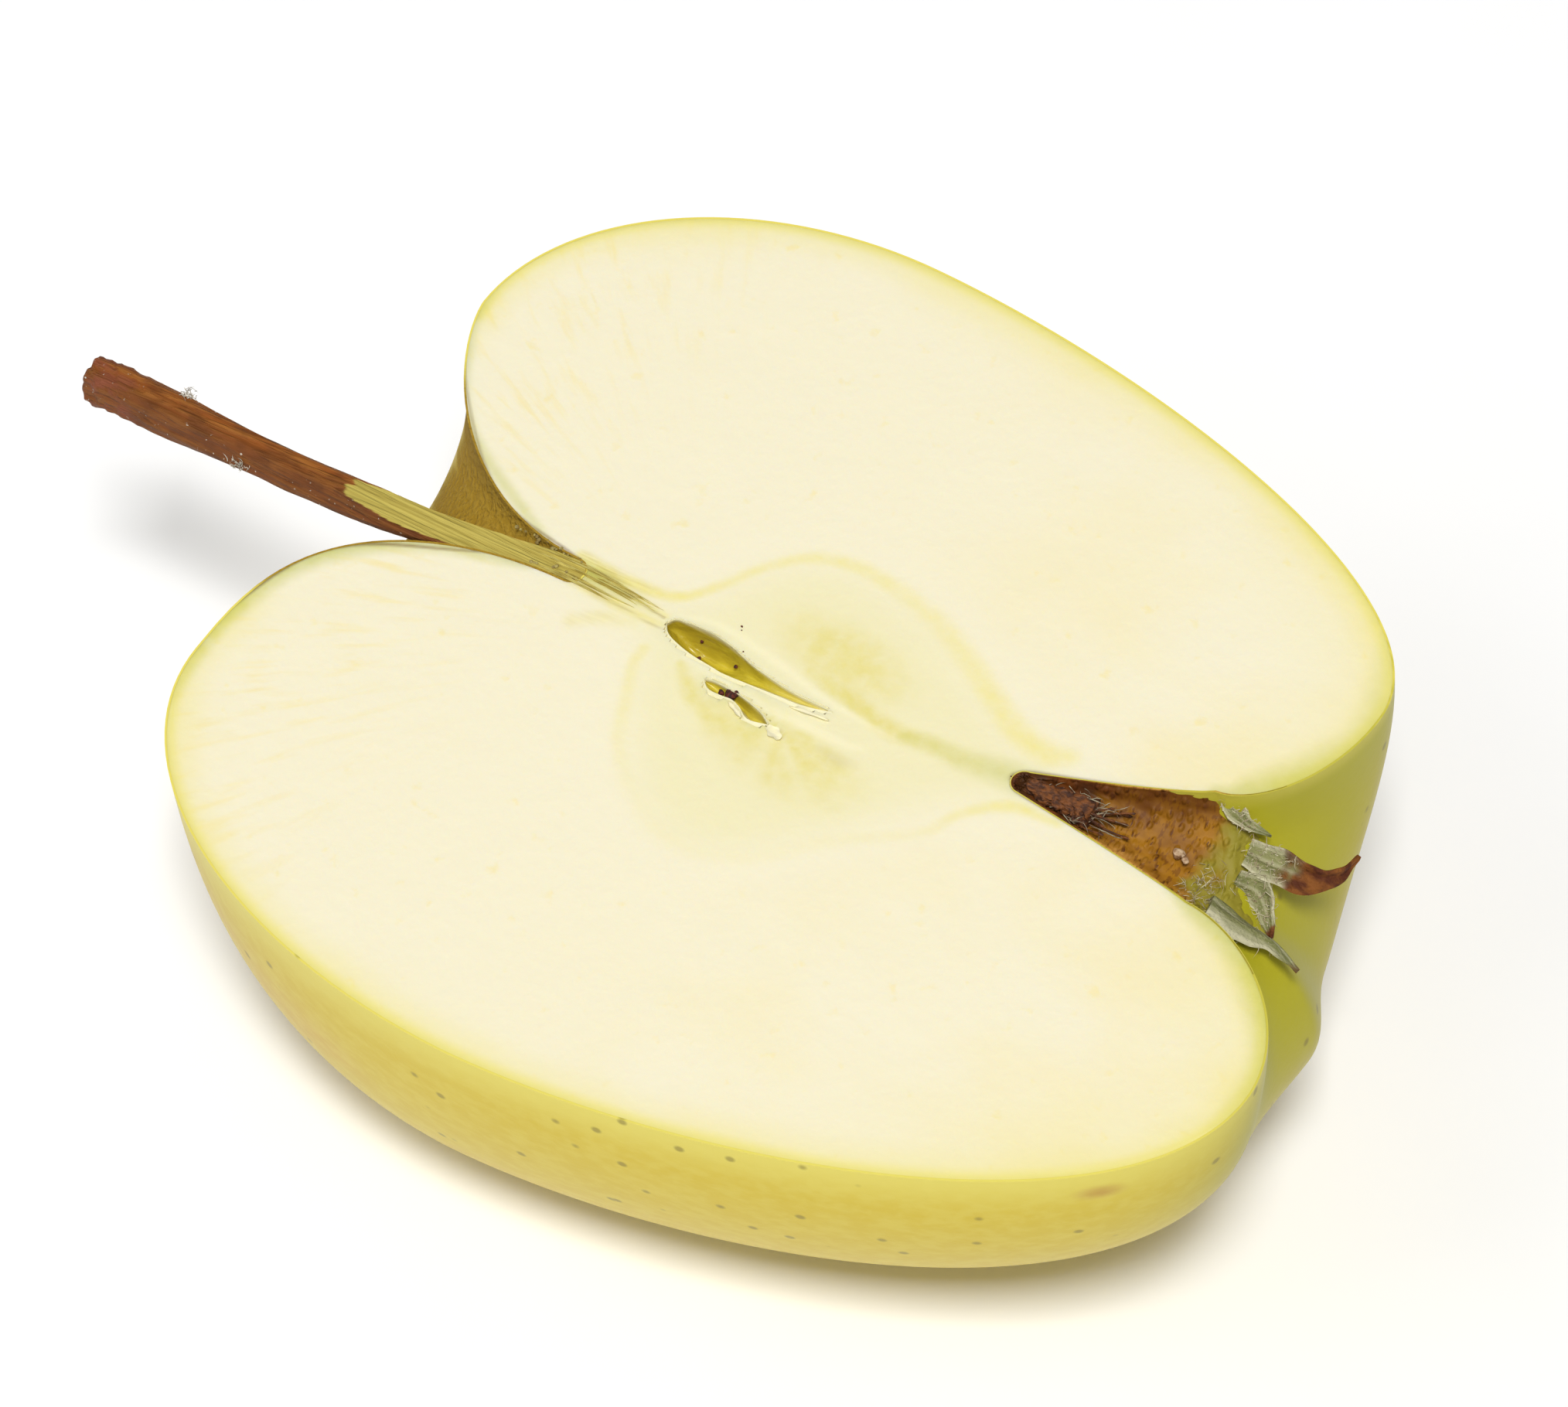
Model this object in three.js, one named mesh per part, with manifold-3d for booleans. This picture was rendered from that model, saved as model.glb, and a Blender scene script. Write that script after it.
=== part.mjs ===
// Half of a tall yellow apple, cut lengthwise through its core. It lies on its rounded back
// with the cut face up, the stem towards -X and the dried flower end towards +X.
// Millimetres, +Z up, the origin on the ground under the middle of its box.
import * as THREE from "three";
import { mergeVertices } from "three/addons/utils/BufferGeometryUtils.js";
import Module from "manifold-3d";

const wasm = await Module();
wasm.setup();

// ---- Driving dimensions ----
// They are in the apple's own frame: x along the core from the stem to the flower end, y towards
// the shorter cheek, z out of the cut face, and the origin halfway along the core.
const FACE_ROLL = 10.3; // degrees that the face leans towards the longer cheek
const REST_SPOT_DEPTH = 0.5; // how much the weight flattens the back, where it rests
const GAP = 0.3; // between neighbouring pieces

// The outline of the apple from the stem to the flower end passes these places. Each has its
// place along the core and its radius on the long cheek, the middle of the back and the short cheek.
const CAVITY_FLOOR = { along: [-18, -18, -18], radius: [0.95, 0.95, 0.95] };
const SHOULDER = { along: [-37, -36.1, -36.7], radius: [18.3, 16.9, 16.8] };
const GIRTH = { along: [-4, -0.5, -11], radius: [37.2, 36.1, 34.8] };
const CROWN = { along: [44.3, 40.3, 36.8], radius: [13.9, 14.8, 16.4] };
const TUBE_MOUTH = { along: [33, 33.3, 30.2], radius: [2.9, 4.4, 5.6] };
const TUBE_APEX = { along: [18.6, 18.6, 18.6], radius: [0.8, 0.8, 0.8] };

// Exponents that bend each stretch of the outline away from a plain ellipse.
const CAVITY_FLARE = [0.7, 0.8, 1.35]; // on the long cheek, the back and the short cheek
const CHEEK_TAPER = 1.19;
const BASIN_LIP = 1.18;
const BASIN_THROAT = 1.05;
const TUBE_FLARE = 0.85;
const BACK_FULLNESS = 2.54; // 2 would make the back's section a plain ellipse

// An apple has five lobes: low swells on the cheeks, and ribs on the crown.
const LOBES = 5;
const CHEEK_LOBE = { azimuth: 35, swell: 0.025 };
const CROWN_RIB = { azimuth: 20, height: 0.4 };
const LONG_CHEEK_SLUMP = 6.8; // the long cheek's widest place moves this far towards the stem
const SHORT_CROWN_DIP = 1.8; // the short cheek's crown falls back this far below the cut face

const STEPS_ROUND = 46;
const STEPS = { cavity: 9, shoulder: 11, cheek: 16, basin: 9, tube: 6 };

// Two seed cells lie open in the cut face, each an almond-shaped hollow.
const SEED_CELLS = [
  { centre: [-3.7, -1.2], halfLength: 6.3, halfWidth: 1.8, depth: 3.4, turn: -6.5 },
  { centre: [-2, -4.1], halfLength: 2.9, halfWidth: 0.8, depth: 2, turn: -13 },
];

// The stem runs from the cavity floor out over the shoulder, and dips below the cut face.
const STEM_PATH = [
  [-18.4, 0.1, -0.1],
  [-29.3, -1.5, -0.5],
  [-37.1, -1.5, -1.5],
  [-45.1, -1.3, -2.1],
  [-59.8, -0.35, -3.6],
];
const STEM_RADIUS = { base: 0.75, middle: 1.35, knob: 1.6 };
const STEM_RIDGE = 0.06; // share of the radius
const STEM_SIDES = 20;
const STEM_RINGS = 30;

// Each sepal is a thin dry leaf: its midrib, its widest width, how far it cups, and the
// direction from its midrib to its right edge.
const SEPAL_THICKNESS = 0.55;
const SEPAL_POINT = 0.75; // 0.5 would round the tips, and 1 make them sharp
const SEPALS = {
  sepal_curled: {
    midrib: [[30.8, 6.5, -0.9], [31.5, 5.8, -1.5], [32.8, 5.4, -1.8], [34.5, 5.5, -2.0]],
    width: 1.5, cup: 0.35, across: [0.75, 0.65, 0],
  },
  sepal_long: {
    midrib: [[33.3, 4.4, -3.3], [35.6, 4.6, -3.6], [38.0, 4.9, -3.9], [39.3, 6.2, -3.9], [39.7, 8.1, -3.9]],
    width: 2.5, cup: 0.3, across: [0.1, 0.75, 0.65],
  },
  sepal_short: {
    midrib: [[33.4, 2.5, -4.2], [34.9, 2.9, -5.0], [36.2, 1.9, -5.6], [37.2, 0.7, -6.0]],
    width: 2.2, cup: 0.35, across: [0.35, 0.8, 0.5],
  },
  sepal_low: {
    midrib: [[33.4, -0.5, -2.7], [35.5, -0.4, -3.9], [37.8, -0.2, -5.0], [40.1, -0.8, -5.9]],
    width: 3.3, cup: 0.35, across: [0.3, -0.75, 0.6],
  },
};
const SEPAL_STEPS = { along: 10, across: 6 };

// Dried stamens fill the narrow end of the flower tube.
const STAMEN_PLUG = { from: [19.4, 0.1, -0.5], to: [24.2, 0.35, -0.75], radius: [0.25, 0.7] };
const STAMEN_RADIUS = 0.28;
const STAMEN_SIDES = 6;
const STAMEN_TIPS = [
  [26.6, 1.5, -1.0],
  [28.4, 0.6, -1.2],
  [27.6, 1.1, -2.1],
  [26.2, -0.3, -1.4],
  [29.6, 1.9, -1.7],
  [27.2, 2.2, -1.9],
];

const BIG = 200; // larger than the whole apple

// ---- Solids ----
/** The manifold-3d solid of a closed geometry. */
function solidOf(geometry) {
  const bare = new THREE.BufferGeometry();
  bare.setAttribute("position", geometry.getAttribute("position"));
  bare.setIndex(geometry.index);
  const merged = mergeVertices(bare, 1e-4);
  return new wasm.Manifold(
    new wasm.Mesh({
      numProp: 3,
      vertProperties: new Float32Array(merged.attributes.position.array),
      triVerts: new Uint32Array(merged.index.array),
    }),
  );
}

/** The three.js geometry of a manifold-3d solid. */
function geometryOf(solid) {
  const mesh = solid.getMesh();
  const geometry = new THREE.BufferGeometry();
  geometry.setAttribute("position", new THREE.BufferAttribute(mesh.vertProperties, 3));
  geometry.setIndex(new THREE.BufferAttribute(mesh.triVerts, 1));
  return geometry;
}

/** A geometry from a list of points and a list of triangles. */
function meshOf(points, triangles) {
  const geometry = new THREE.BufferGeometry();
  geometry.setAttribute("position", new THREE.Float32BufferAttribute(points.flat(), 3));
  geometry.setIndex(triangles.flat());
  return geometry;
}

/** The two triangles of each cell of a grid of points, rows by columns, row after row. */
function gridTriangles(rows, columns) {
  const triangles = [];
  for (let row = 0; row < rows - 1; row++)
    for (let column = 0; column < columns - 1; column++) {
      const corner = row * columns + column;
      const across = corner + columns;
      triangles.push([corner, across + 1, corner + 1], [corner, across, across + 1]);
    }
  return triangles;
}

/** Everything above the cut face, as a block to cut away. */
function aboveTheFace() {
  return solidOf(new THREE.BoxGeometry(BIG, BIG, BIG).translate(0, 0, BIG / 2));
}

// ---- Flesh ----
/** A size on the meridian at this azimuth, easing from a cheek to the middle of the back. */
function placeAt(sizes, azimuth) {
  const [long, back, short] = sizes;
  const cheek = azimuth < Math.PI / 2 ? long : short;
  return back + (cheek - back) * Math.cos(azimuth) ** 2;
}

/** A radius at this azimuth: a superellipse from the cheek's radius to the back's, with lobes. */
function fullRadiusAt(sizes, azimuth) {
  const [long, back, short] = sizes;
  const cheek = azimuth < Math.PI / 2 ? long : short;
  const across = Math.abs(Math.cos(azimuth) / cheek) ** BACK_FULLNESS;
  const down = Math.abs(Math.sin(azimuth) / back) ** BACK_FULLNESS;
  const lobe = CHEEK_LOBE.swell * lobeAt(CHEEK_LOBE.azimuth, azimuth);
  return (across + down) ** (-1 / BACK_FULLNESS) * (1 + lobe);
}

/** From -1 in a valley to 1 on a lobe, and 0 at the cut face. */
function lobeAt(crestDegrees, azimuth) {
  const crest = THREE.MathUtils.degToRad(crestDegrees);
  return Math.cos(LOBES * (azimuth - crest)) * Math.sin(azimuth) ** 2;
}

/** 0 at the cut face, quickly up to 1 below it, and back to 0 at the middle of the back. */
function dipAt(azimuth) {
  const towardsFace = Math.abs(Math.cos(azimuth));
  return (1 - towardsFace ** 8) * THREE.MathUtils.smoothstep(towardsFace, 0, 0.35);
}

/** Where the outline's named places lie at this azimuth, each as [along, radius]. */
function placesAt(azimuth) {
  const plain = ({ along, radius }) => [placeAt(along, azimuth), placeAt(radius, azimuth)];
  const full = ({ along, radius }) => [placeAt(along, azimuth), fullRadiusAt(radius, azimuth)];
  const girth = full(GIRTH);
  const crown = full(CROWN);
  if (azimuth < Math.PI / 2) girth[0] -= LONG_CHEEK_SLUMP * Math.sin(2 * azimuth) ** 2;
  else crown[0] -= SHORT_CROWN_DIP * dipAt(azimuth);
  crown[0] += CROWN_RIB.height * lobeAt(CROWN_RIB.azimuth, azimuth);
  return {
    floor: plain(CAVITY_FLOOR),
    shoulder: full(SHOULDER),
    girth,
    crown,
    mouth: plain(TUBE_MOUTH),
    apex: plain(TUBE_APEX),
  };
}

/** Points from one place to the next, by two laws that run from 0 to 1 over a quarter turn. */
function stretch([fromAlong, fromRadius], [toAlong, toRadius], steps, alongLaw, radiusLaw) {
  return Array.from({ length: steps }, (_, step) => {
    const turn = ((step + 1) / steps) * (Math.PI / 2);
    return [
      fromAlong + (toAlong - fromAlong) * alongLaw(turn),
      fromRadius + (toRadius - fromRadius) * radiusLaw(turn),
    ];
  });
}

/** The outline from the cavity floor to the apex of the flower tube, as [along, radius]. */
function outlineAt(azimuth) {
  const { floor, shoulder, girth, crown, mouth, apex } = placesAt(azimuth);
  const flare = placeAt(CAVITY_FLARE, azimuth);
  const fall = (turn) => Math.max(Math.cos(turn), 0);
  return [
    floor,
    ...stretch(floor, shoulder, STEPS.cavity, Math.sin, (a) => 1 - fall(a) ** flare),
    ...stretch(shoulder, girth, STEPS.shoulder, (a) => 1 - fall(a), Math.sin),
    ...stretch(girth, crown, STEPS.cheek, (a) => Math.sin(a) ** CHEEK_TAPER, (a) => 1 - fall(a)),
    ...stretch(
      crown, mouth, STEPS.basin,
      (a) => 1 - fall(a) ** BASIN_LIP,
      (a) => Math.sin(a) ** BASIN_THROAT,
    ),
    ...stretch(
      mouth, apex, STEPS.tube,
      (a) => a / (Math.PI / 2),
      (a) => (a / (Math.PI / 2)) ** TUBE_FLARE,
    ),
  ];
}

/** The uncut half: the back as a grid of meridians, its two ends and the flat cut face. */
function halfApple() {
  const points = [];
  let columns = 0;
  for (let step = 0; step <= STEPS_ROUND; step++) {
    const azimuth = (step / STEPS_ROUND) * Math.PI;
    const outline = outlineAt(azimuth);
    columns = outline.length;
    for (const [along, radius] of outline) {
      const down = step === STEPS_ROUND ? 0 : radius * Math.sin(azimuth);
      points.push([along, -radius * Math.cos(azimuth), -down]);
    }
  }
  const rows = STEPS_ROUND + 1;
  const triangles = gridTriangles(rows, columns);
  // the half discs of the cavity floor and of the tube's apex, as fans
  for (let row = 1; row < rows - 1; row++) {
    triangles.push([0, (row + 1) * columns, row * columns]);
    triangles.push([columns - 1, (row + 1) * columns - 1, (row + 2) * columns - 1]);
  }
  // the cut face, inside the outlines of both cheeks
  const longCheek = Array.from({ length: columns }, (_, column) => column);
  const shortCheek = longCheek.map((column) => (rows - 1) * columns + column).reverse();
  const rim = [...longCheek, ...shortCheek];
  const flat = rim.map((index) => new THREE.Vector2(points[index][0], points[index][1]));
  for (const [a, b, c] of THREE.ShapeUtils.triangulateShape(flat, [])) {
    const facesUp = THREE.ShapeUtils.area([flat[a], flat[b], flat[c]]) > 0;
    triangles.push(facesUp ? [rim[a], rim[b], rim[c]] : [rim[a], rim[c], rim[b]]);
  }
  return solidOf(meshOf(points, triangles));
}

/** An almond-shaped hollow, widest in the middle and pointed at both ends. */
function seedCell({ centre, halfLength, halfWidth, depth, turn }) {
  const almond = new THREE.SphereGeometry(1, 18, 12);
  almond.rotateZ(Math.PI / 2); // its poles become its pointed ends
  const position = almond.getAttribute("position");
  for (let i = 0; i < position.count; i++) {
    const along = position.getX(i);
    const round = Math.sqrt(Math.max(1 - along * along, 0));
    const narrow = round > 0 ? (1 - Math.abs(along) ** 1.5) / round : 0;
    position.setXYZ(
      i,
      along * halfLength,
      position.getY(i) * narrow * halfWidth,
      position.getZ(i) * narrow * depth,
    );
  }
  almond.rotateZ(THREE.MathUtils.degToRad(turn));
  almond.translate(centre[0], centre[1], 0);
  return solidOf(almond);
}

/** The block under the plane that the back rests on. */
function underTheRestSpot(solid) {
  const roll = THREE.MathUtils.degToRad(FACE_ROLL);
  const lowest = solid.rotate([FACE_ROLL, 0, 0]).boundingBox().min[2];
  const block = new THREE.BoxGeometry(BIG, BIG, BIG);
  block.translate(0, 0, lowest + REST_SPOT_DEPTH - BIG / 2);
  return solidOf(block.rotateX(-roll));
}

// ---- Stem ----
/** A closed tube along a curve, its radius a function of the share along and of the side. */
function tubeSolid(curve, rings, sides, radiusAt) {
  const frames = curve.computeFrenetFrames(rings - 1, false);
  const points = [];
  for (let ring = 0; ring < rings; ring++) {
    const share = ring / (rings - 1);
    const centre = curve.getPointAt(share);
    for (let side = 0; side < sides; side++) {
      const angle = (side / sides) * 2 * Math.PI;
      const radius = radiusAt(share, angle);
      const spoke = frames.normals[ring].clone().multiplyScalar(Math.cos(angle) * radius);
      spoke.addScaledVector(frames.binormals[ring], Math.sin(angle) * radius);
      points.push(spoke.add(centre).toArray());
    }
  }
  const triangles = [];
  for (let ring = 0; ring < rings - 1; ring++)
    for (let side = 0; side < sides; side++) {
      const corner = ring * sides + side;
      const next = ring * sides + ((side + 1) % sides);
      triangles.push([corner, next, next + sides], [corner, next + sides, corner + sides]);
    }
  const last = (rings - 1) * sides;
  for (let side = 1; side < sides - 1; side++) {
    triangles.push([0, side + 1, side]);
    triangles.push([last, last + side, last + side + 1]);
  }
  return solidOf(meshOf(points, triangles));
}

/** The ridged stem, thicker towards the knob at its tip. With grow it is the room around it. */
function stemSolid(grow) {
  const path = STEM_PATH.map((point) => new THREE.Vector3(...point));
  if (grow) path[0].x += grow;
  const curve = new THREE.CatmullRomCurve3(path);
  return tubeSolid(curve, STEM_RINGS, STEM_SIDES, (share, angle) => {
    const { base, middle, knob } = STEM_RADIUS;
    const shaft = THREE.MathUtils.lerp(base, middle, THREE.MathUtils.smoothstep(share, 0, 0.45));
    const tip = (knob - middle) * THREE.MathUtils.smoothstep(share, 0.6, 0.9);
    const ridge = 1 + STEM_RIDGE * Math.cos(5 * angle + 2 * share);
    return (shaft + tip) * ridge + grow;
  });
}

// ---- Dried flower ----
/** A thin cupped leaf: its two faces are alike, half a thickness either side of the middle. */
function sepalSolid({ midrib, width, cup, across }, grow) {
  const path = midrib.map((point) => new THREE.Vector3(...point));
  if (grow) path[0].addScaledVector(path[0].clone().sub(path[1]).normalize(), grow);
  const curve = new THREE.CatmullRomCurve3(path);
  const { along: rows, across: columns } = SEPAL_STEPS;
  const wanted = new THREE.Vector3(...across);
  const faces = { upper: [], lower: [] };
  for (let row = 0; row <= rows; row++) {
    const share = row / rows;
    const centre = curve.getPointAt(share);
    const tangent = curve.getTangentAt(share);
    const normal = tangent.clone().cross(wanted).normalize();
    const side = normal.clone().cross(tangent).normalize();
    const taper = 0.72 + 0.28 * Math.sin(Math.PI * Math.min(share * 1.6, 1));
    const point = Math.max(1 - share ** 2.2, 0) ** SEPAL_POINT;
    const half = (width / 2) * taper * point + 0.12 + grow;
    const thick = SEPAL_THICKNESS / 2 + grow;
    for (let column = 0; column <= columns; column++) {
      const swing = (2 * column) / columns - 1;
      const lift = cup * half * swing ** 2 + 0.08 * Math.sin(5 * swing + 7 * share);
      const middle = centre.clone().addScaledVector(side, swing * half);
      const edge = 1 - 0.6 * swing ** 4;
      faces.upper.push(middle.clone().addScaledVector(normal, lift + thick * edge).toArray());
      faces.lower.push(middle.clone().addScaledVector(normal, lift - thick * edge).toArray());
    }
  }
  const stride = columns + 1;
  const under = faces.upper.length;
  const upper = gridTriangles(rows + 1, stride);
  const lower = upper.map(([a, b, c]) => [under + a, under + c, under + b]);
  const ring = [];
  for (let column = 0; column < columns; column++) ring.push(column);
  for (let row = 0; row < rows; row++) ring.push(row * stride + columns);
  for (let column = columns; column > 0; column--) ring.push(rows * stride + column);
  for (let row = rows; row > 0; row--) ring.push(row * stride);
  const edge = ring.flatMap((from, step) => {
    const to = ring[(step + 1) % ring.length];
    return [[from, to, under + to], [from, under + to, under + from]];
  });
  return solidOf(meshOf([...faces.upper, ...faces.lower], [...upper, ...lower, ...edge]));
}

/** The stamens: a plug at the bottom of the tube, with thin bent filaments growing out of it. */
function stamenSolid(grow) {
  const from = new THREE.Vector3(...STAMEN_PLUG.from);
  const to = new THREE.Vector3(...STAMEN_PLUG.to);
  const [narrow, wide] = STAMEN_PLUG.radius;
  const plugLine = new THREE.LineCurve3(from, to);
  const radiusAt = (share) => THREE.MathUtils.lerp(narrow, wide, share) + grow;
  let bundle = tubeSolid(plugLine, 6, 10, radiusAt);
  STAMEN_TIPS.forEach((tip, number) => {
    const end = new THREE.Vector3(...tip);
    const bend = to.clone().lerp(end, 0.5);
    bend.z -= 0.25 * (1 + (number % 2));
    const curve = new THREE.CatmullRomCurve3([from.clone().lerp(to, 0.6), to.clone(), bend, end]);
    const filament = tubeSolid(curve, 9, STAMEN_SIDES, () => STAMEN_RADIUS + grow);
    bundle = bundle.add(filament);
  });
  return bundle;
}

// ---- Scene ----
/** A named mesh of a solid, in its own finish. */
function piece(name, solid, color, roughness) {
  const material = new THREE.MeshStandardMaterial({ color, roughness, metalness: 0 });
  material.flatShading = true;
  const mesh = new THREE.Mesh(geometryOf(solid), material);
  mesh.name = name;
  return mesh;
}

const knife = aboveTheFace();
let flesh = halfApple();
flesh = flesh.subtract(underTheRestSpot(flesh));
for (const cell of SEED_CELLS) flesh = flesh.subtract(seedCell(cell));
flesh = flesh.subtract(stemSolid(GAP));
flesh = flesh.subtract(stamenSolid(GAP));

const half = new THREE.Group();
let taken = knife; // where the next sepal may not be: above the face, or at another sepal
for (const [name, sizes] of Object.entries(SEPALS)) {
  const room = sepalSolid(sizes, GAP);
  half.add(piece(name, sepalSolid(sizes, 0).subtract(taken), "#8f8f5c", 0.8));
  flesh = flesh.subtract(room);
  taken = taken.add(room);
}
half.add(piece("flesh", flesh, "#f3ecc0", 0.45));
half.add(piece("stem", stemSolid(0).subtract(knife), "#7a4a2c", 0.75));
half.add(piece("stamens", stamenSolid(0).subtract(knife), "#4a2c1a", 0.9));
half.rotation.x = THREE.MathUtils.degToRad(FACE_ROLL);

const apple = new THREE.Group();
apple.add(half);
apple.updateMatrixWorld(true);
const box = new THREE.Box3().setFromObject(apple, true);
const middle = box.getCenter(new THREE.Vector3());
half.position.set(-middle.x, -middle.y, -box.min.z);

export default apple;
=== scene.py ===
"""Dresses half of a tall yellow apple, cut lengthwise through its core.

Every shape is worked out in the apple's own frame, in millimetres: x runs along the core from
the stem to the flower end, y towards the shorter cheek, and z out of the cut face.
"""

import math

import bmesh
import bpy
import numpy as np
from mathutils import Matrix, Vector


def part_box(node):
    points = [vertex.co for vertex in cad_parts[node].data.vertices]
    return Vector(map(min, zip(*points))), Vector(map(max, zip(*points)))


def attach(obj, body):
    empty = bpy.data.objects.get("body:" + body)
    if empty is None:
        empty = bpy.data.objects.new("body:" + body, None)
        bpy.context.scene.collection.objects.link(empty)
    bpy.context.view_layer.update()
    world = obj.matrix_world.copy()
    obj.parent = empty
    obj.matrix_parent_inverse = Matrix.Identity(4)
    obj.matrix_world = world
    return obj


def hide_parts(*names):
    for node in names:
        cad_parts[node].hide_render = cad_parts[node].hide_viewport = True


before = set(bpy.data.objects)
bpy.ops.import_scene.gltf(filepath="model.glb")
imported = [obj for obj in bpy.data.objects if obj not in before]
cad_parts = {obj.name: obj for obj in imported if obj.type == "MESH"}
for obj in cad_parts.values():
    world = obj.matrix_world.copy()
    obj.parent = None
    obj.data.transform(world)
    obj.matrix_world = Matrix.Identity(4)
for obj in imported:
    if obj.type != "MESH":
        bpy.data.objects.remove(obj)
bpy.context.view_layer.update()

bl_info = {
    "name": "Apple half",
    "version": (1, 0, 0),
    "blender": (4, 5, 0),
    "location": "3D View > Sidebar > Apple half",
    "description": "Half of a tall yellow apple with its cut face, skin, stem and dried flower",
    "category": "Add Mesh",
}

MM = 0.001
TINY = 1e-9  # keeps a division away from zero

# ---- The apple's outline ----
FACE_ROLL = math.radians(10.3)  # how far the cut face leans towards the long cheek

# The outline passes these places on its way from the stem's pit to the tip of the flower tube.
# Each has its places along the core and its radii, on the long cheek, the back and the short one.
LANDMARKS = {
    "pit": ([-17, -17, -17], [0, 0, 0]),
    "cavity_floor": ([-18, -18, -18], [0.95, 0.95, 0.95]),
    "shoulder": ([-37, -36.1, -36.7], [18.3, 16.9, 16.8]),
    "girth": ([-4, -0.5, -11], [37.2, 36.1, 34.8]),
    "crown": ([44.3, 40.3, 36.8], [13.9, 14.8, 16.4]),
    "tube_mouth": ([33, 33.3, 30.2], [2.9, 4.4, 5.6]),
    "tube_apex": ([18.6, 18.6, 18.6], [0.8, 0.8, 0.8]),
    "tube_tip": ([17.8, 17.8, 17.8], [0, 0, 0]),
}
PLACE = {name: number for number, name in enumerate(LANDMARKS)}
FULL_SECTION = ("shoulder", "girth", "crown")  # where the section is a superellipse with lobes
BACK_FULLNESS = 2.54  # the superellipse's power: 2 is an ellipse, more is squarer
LOBES = 5
CHEEK_LOBE = (math.radians(35), 0.025)  # azimuth of a crest, share of the radius
CROWN_RIB = (math.radians(20), 0.4)  # azimuth of a crest, height
LONG_CHEEK_SLUMP = 6.8
SHORT_CROWN_DIP = (1.8, 8, 0.35)  # depth, power of the cosine, cosine where it is full
CAVITY_FLARE = [0.7, 0.8, 1.35]  # on the long cheek, the back and the short cheek


def fall(turn):
    """The cosine of a turn, never under zero."""
    return np.maximum(np.cos(turn), 0)


# How far along and how far out each stretch has come after a share of a quarter turn. The flare
# bends the wall of the stem cavity only.
LAWS = (
    (lambda a: 1 - fall(a), lambda a, flare: np.sin(a)),
    (np.sin, lambda a, flare: 1 - fall(a) ** flare),
    (lambda a: 1 - fall(a), lambda a, flare: np.sin(a)),
    (lambda a: np.sin(a) ** 1.19, lambda a, flare: 1 - fall(a)),
    (lambda a: 1 - fall(a) ** 1.18, lambda a, flare: np.sin(a) ** 1.05),
    (lambda a: a / (np.pi / 2), lambda a, flare: (a / (np.pi / 2)) ** 0.85),
    (np.sin, lambda a, flare: 1 - fall(a)),
)


def turned_to_row():
    """The turn and the shift that take the apple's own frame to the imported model's."""
    low, high = (np.array(corner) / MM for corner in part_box("flesh"))
    long_girth, short_girth = LANDMARKS["girth"][1][0], LANDMARKS["girth"][1][2]
    cos, sin = math.cos(FACE_ROLL), math.sin(FACE_ROLL)
    shift = np.array(
        [
            low[0] - LANDMARKS["shoulder"][0][0],
            low[1] + long_girth * cos,
            high[2] - short_girth * sin,
        ]
    )
    return np.array([[1, 0, 0], [0, cos, -sin], [0, sin, cos]]), shift


TURN, SHIFT = turned_to_row()


def to_row(points):
    """Points of the apple's frame in millimetres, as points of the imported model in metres."""
    return (np.asarray(points) @ TURN.T + SHIFT) * MM


def from_row(points):
    """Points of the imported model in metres, as points of the apple's frame in millimetres."""
    return (np.asarray(points) / MM - SHIFT) @ TURN


def smooth(value, start, end):
    """0 at start and before, 1 at end and after, and an S-curve between."""
    share = np.clip((np.asarray(value, float) - start) / (end - start), 0, 1)
    return share * share * (3 - 2 * share)


def eased(sizes, azimuth):
    """A size at each azimuth, easing from a cheek's to the back's by the squared cosine."""
    long, back, short = sizes
    cheek = np.where(azimuth < np.pi / 2, long, short)
    return back + (cheek - back) * np.cos(azimuth) ** 2


def lobe_at(crest, azimuth):
    """From -1 in a valley to 1 on a lobe, and 0 at the cut face."""
    return np.cos(LOBES * (azimuth - crest)) * np.sin(azimuth) ** 2


def landmarks_at(azimuth):
    """Along and radius of each landmark at each azimuth, as two arrays of landmark by azimuth.

    At the shoulder, girth and crown the radius is a superellipse, swollen by the lobes. On the
    long cheek the girth slumps towards the stem, and on the short one the crown falls back."""
    cos, sin = np.abs(np.cos(azimuth)), np.abs(np.sin(azimuth))
    near_long = azimuth < np.pi / 2
    along, radius = [], []
    for name, (alongs, radii) in LANDMARKS.items():
        along.append(eased(alongs, azimuth))
        if name in FULL_SECTION:
            cheek = np.where(near_long, radii[0], radii[2])
            across = (cos / cheek) ** BACK_FULLNESS + (sin / radii[1]) ** BACK_FULLNESS
            lobe = 1 + CHEEK_LOBE[1] * lobe_at(CHEEK_LOBE[0], azimuth)
            radius.append(across ** (-1 / BACK_FULLNESS) * lobe)
        else:
            radius.append(eased(radii, azimuth))
    slump = LONG_CHEEK_SLUMP * np.sin(2 * azimuth) ** 2
    depth, power, full = SHORT_CROWN_DIP
    dip = depth * (1 - cos**power) * smooth(cos, 0, full)
    along[PLACE["girth"]] -= np.where(near_long, slump, 0)
    along[PLACE["crown"]] -= np.where(near_long, 0, dip)
    along[PLACE["crown"]] += CROWN_RIB[1] * lobe_at(CROWN_RIB[0], azimuth)
    return np.array(along), np.array(radius)


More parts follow.
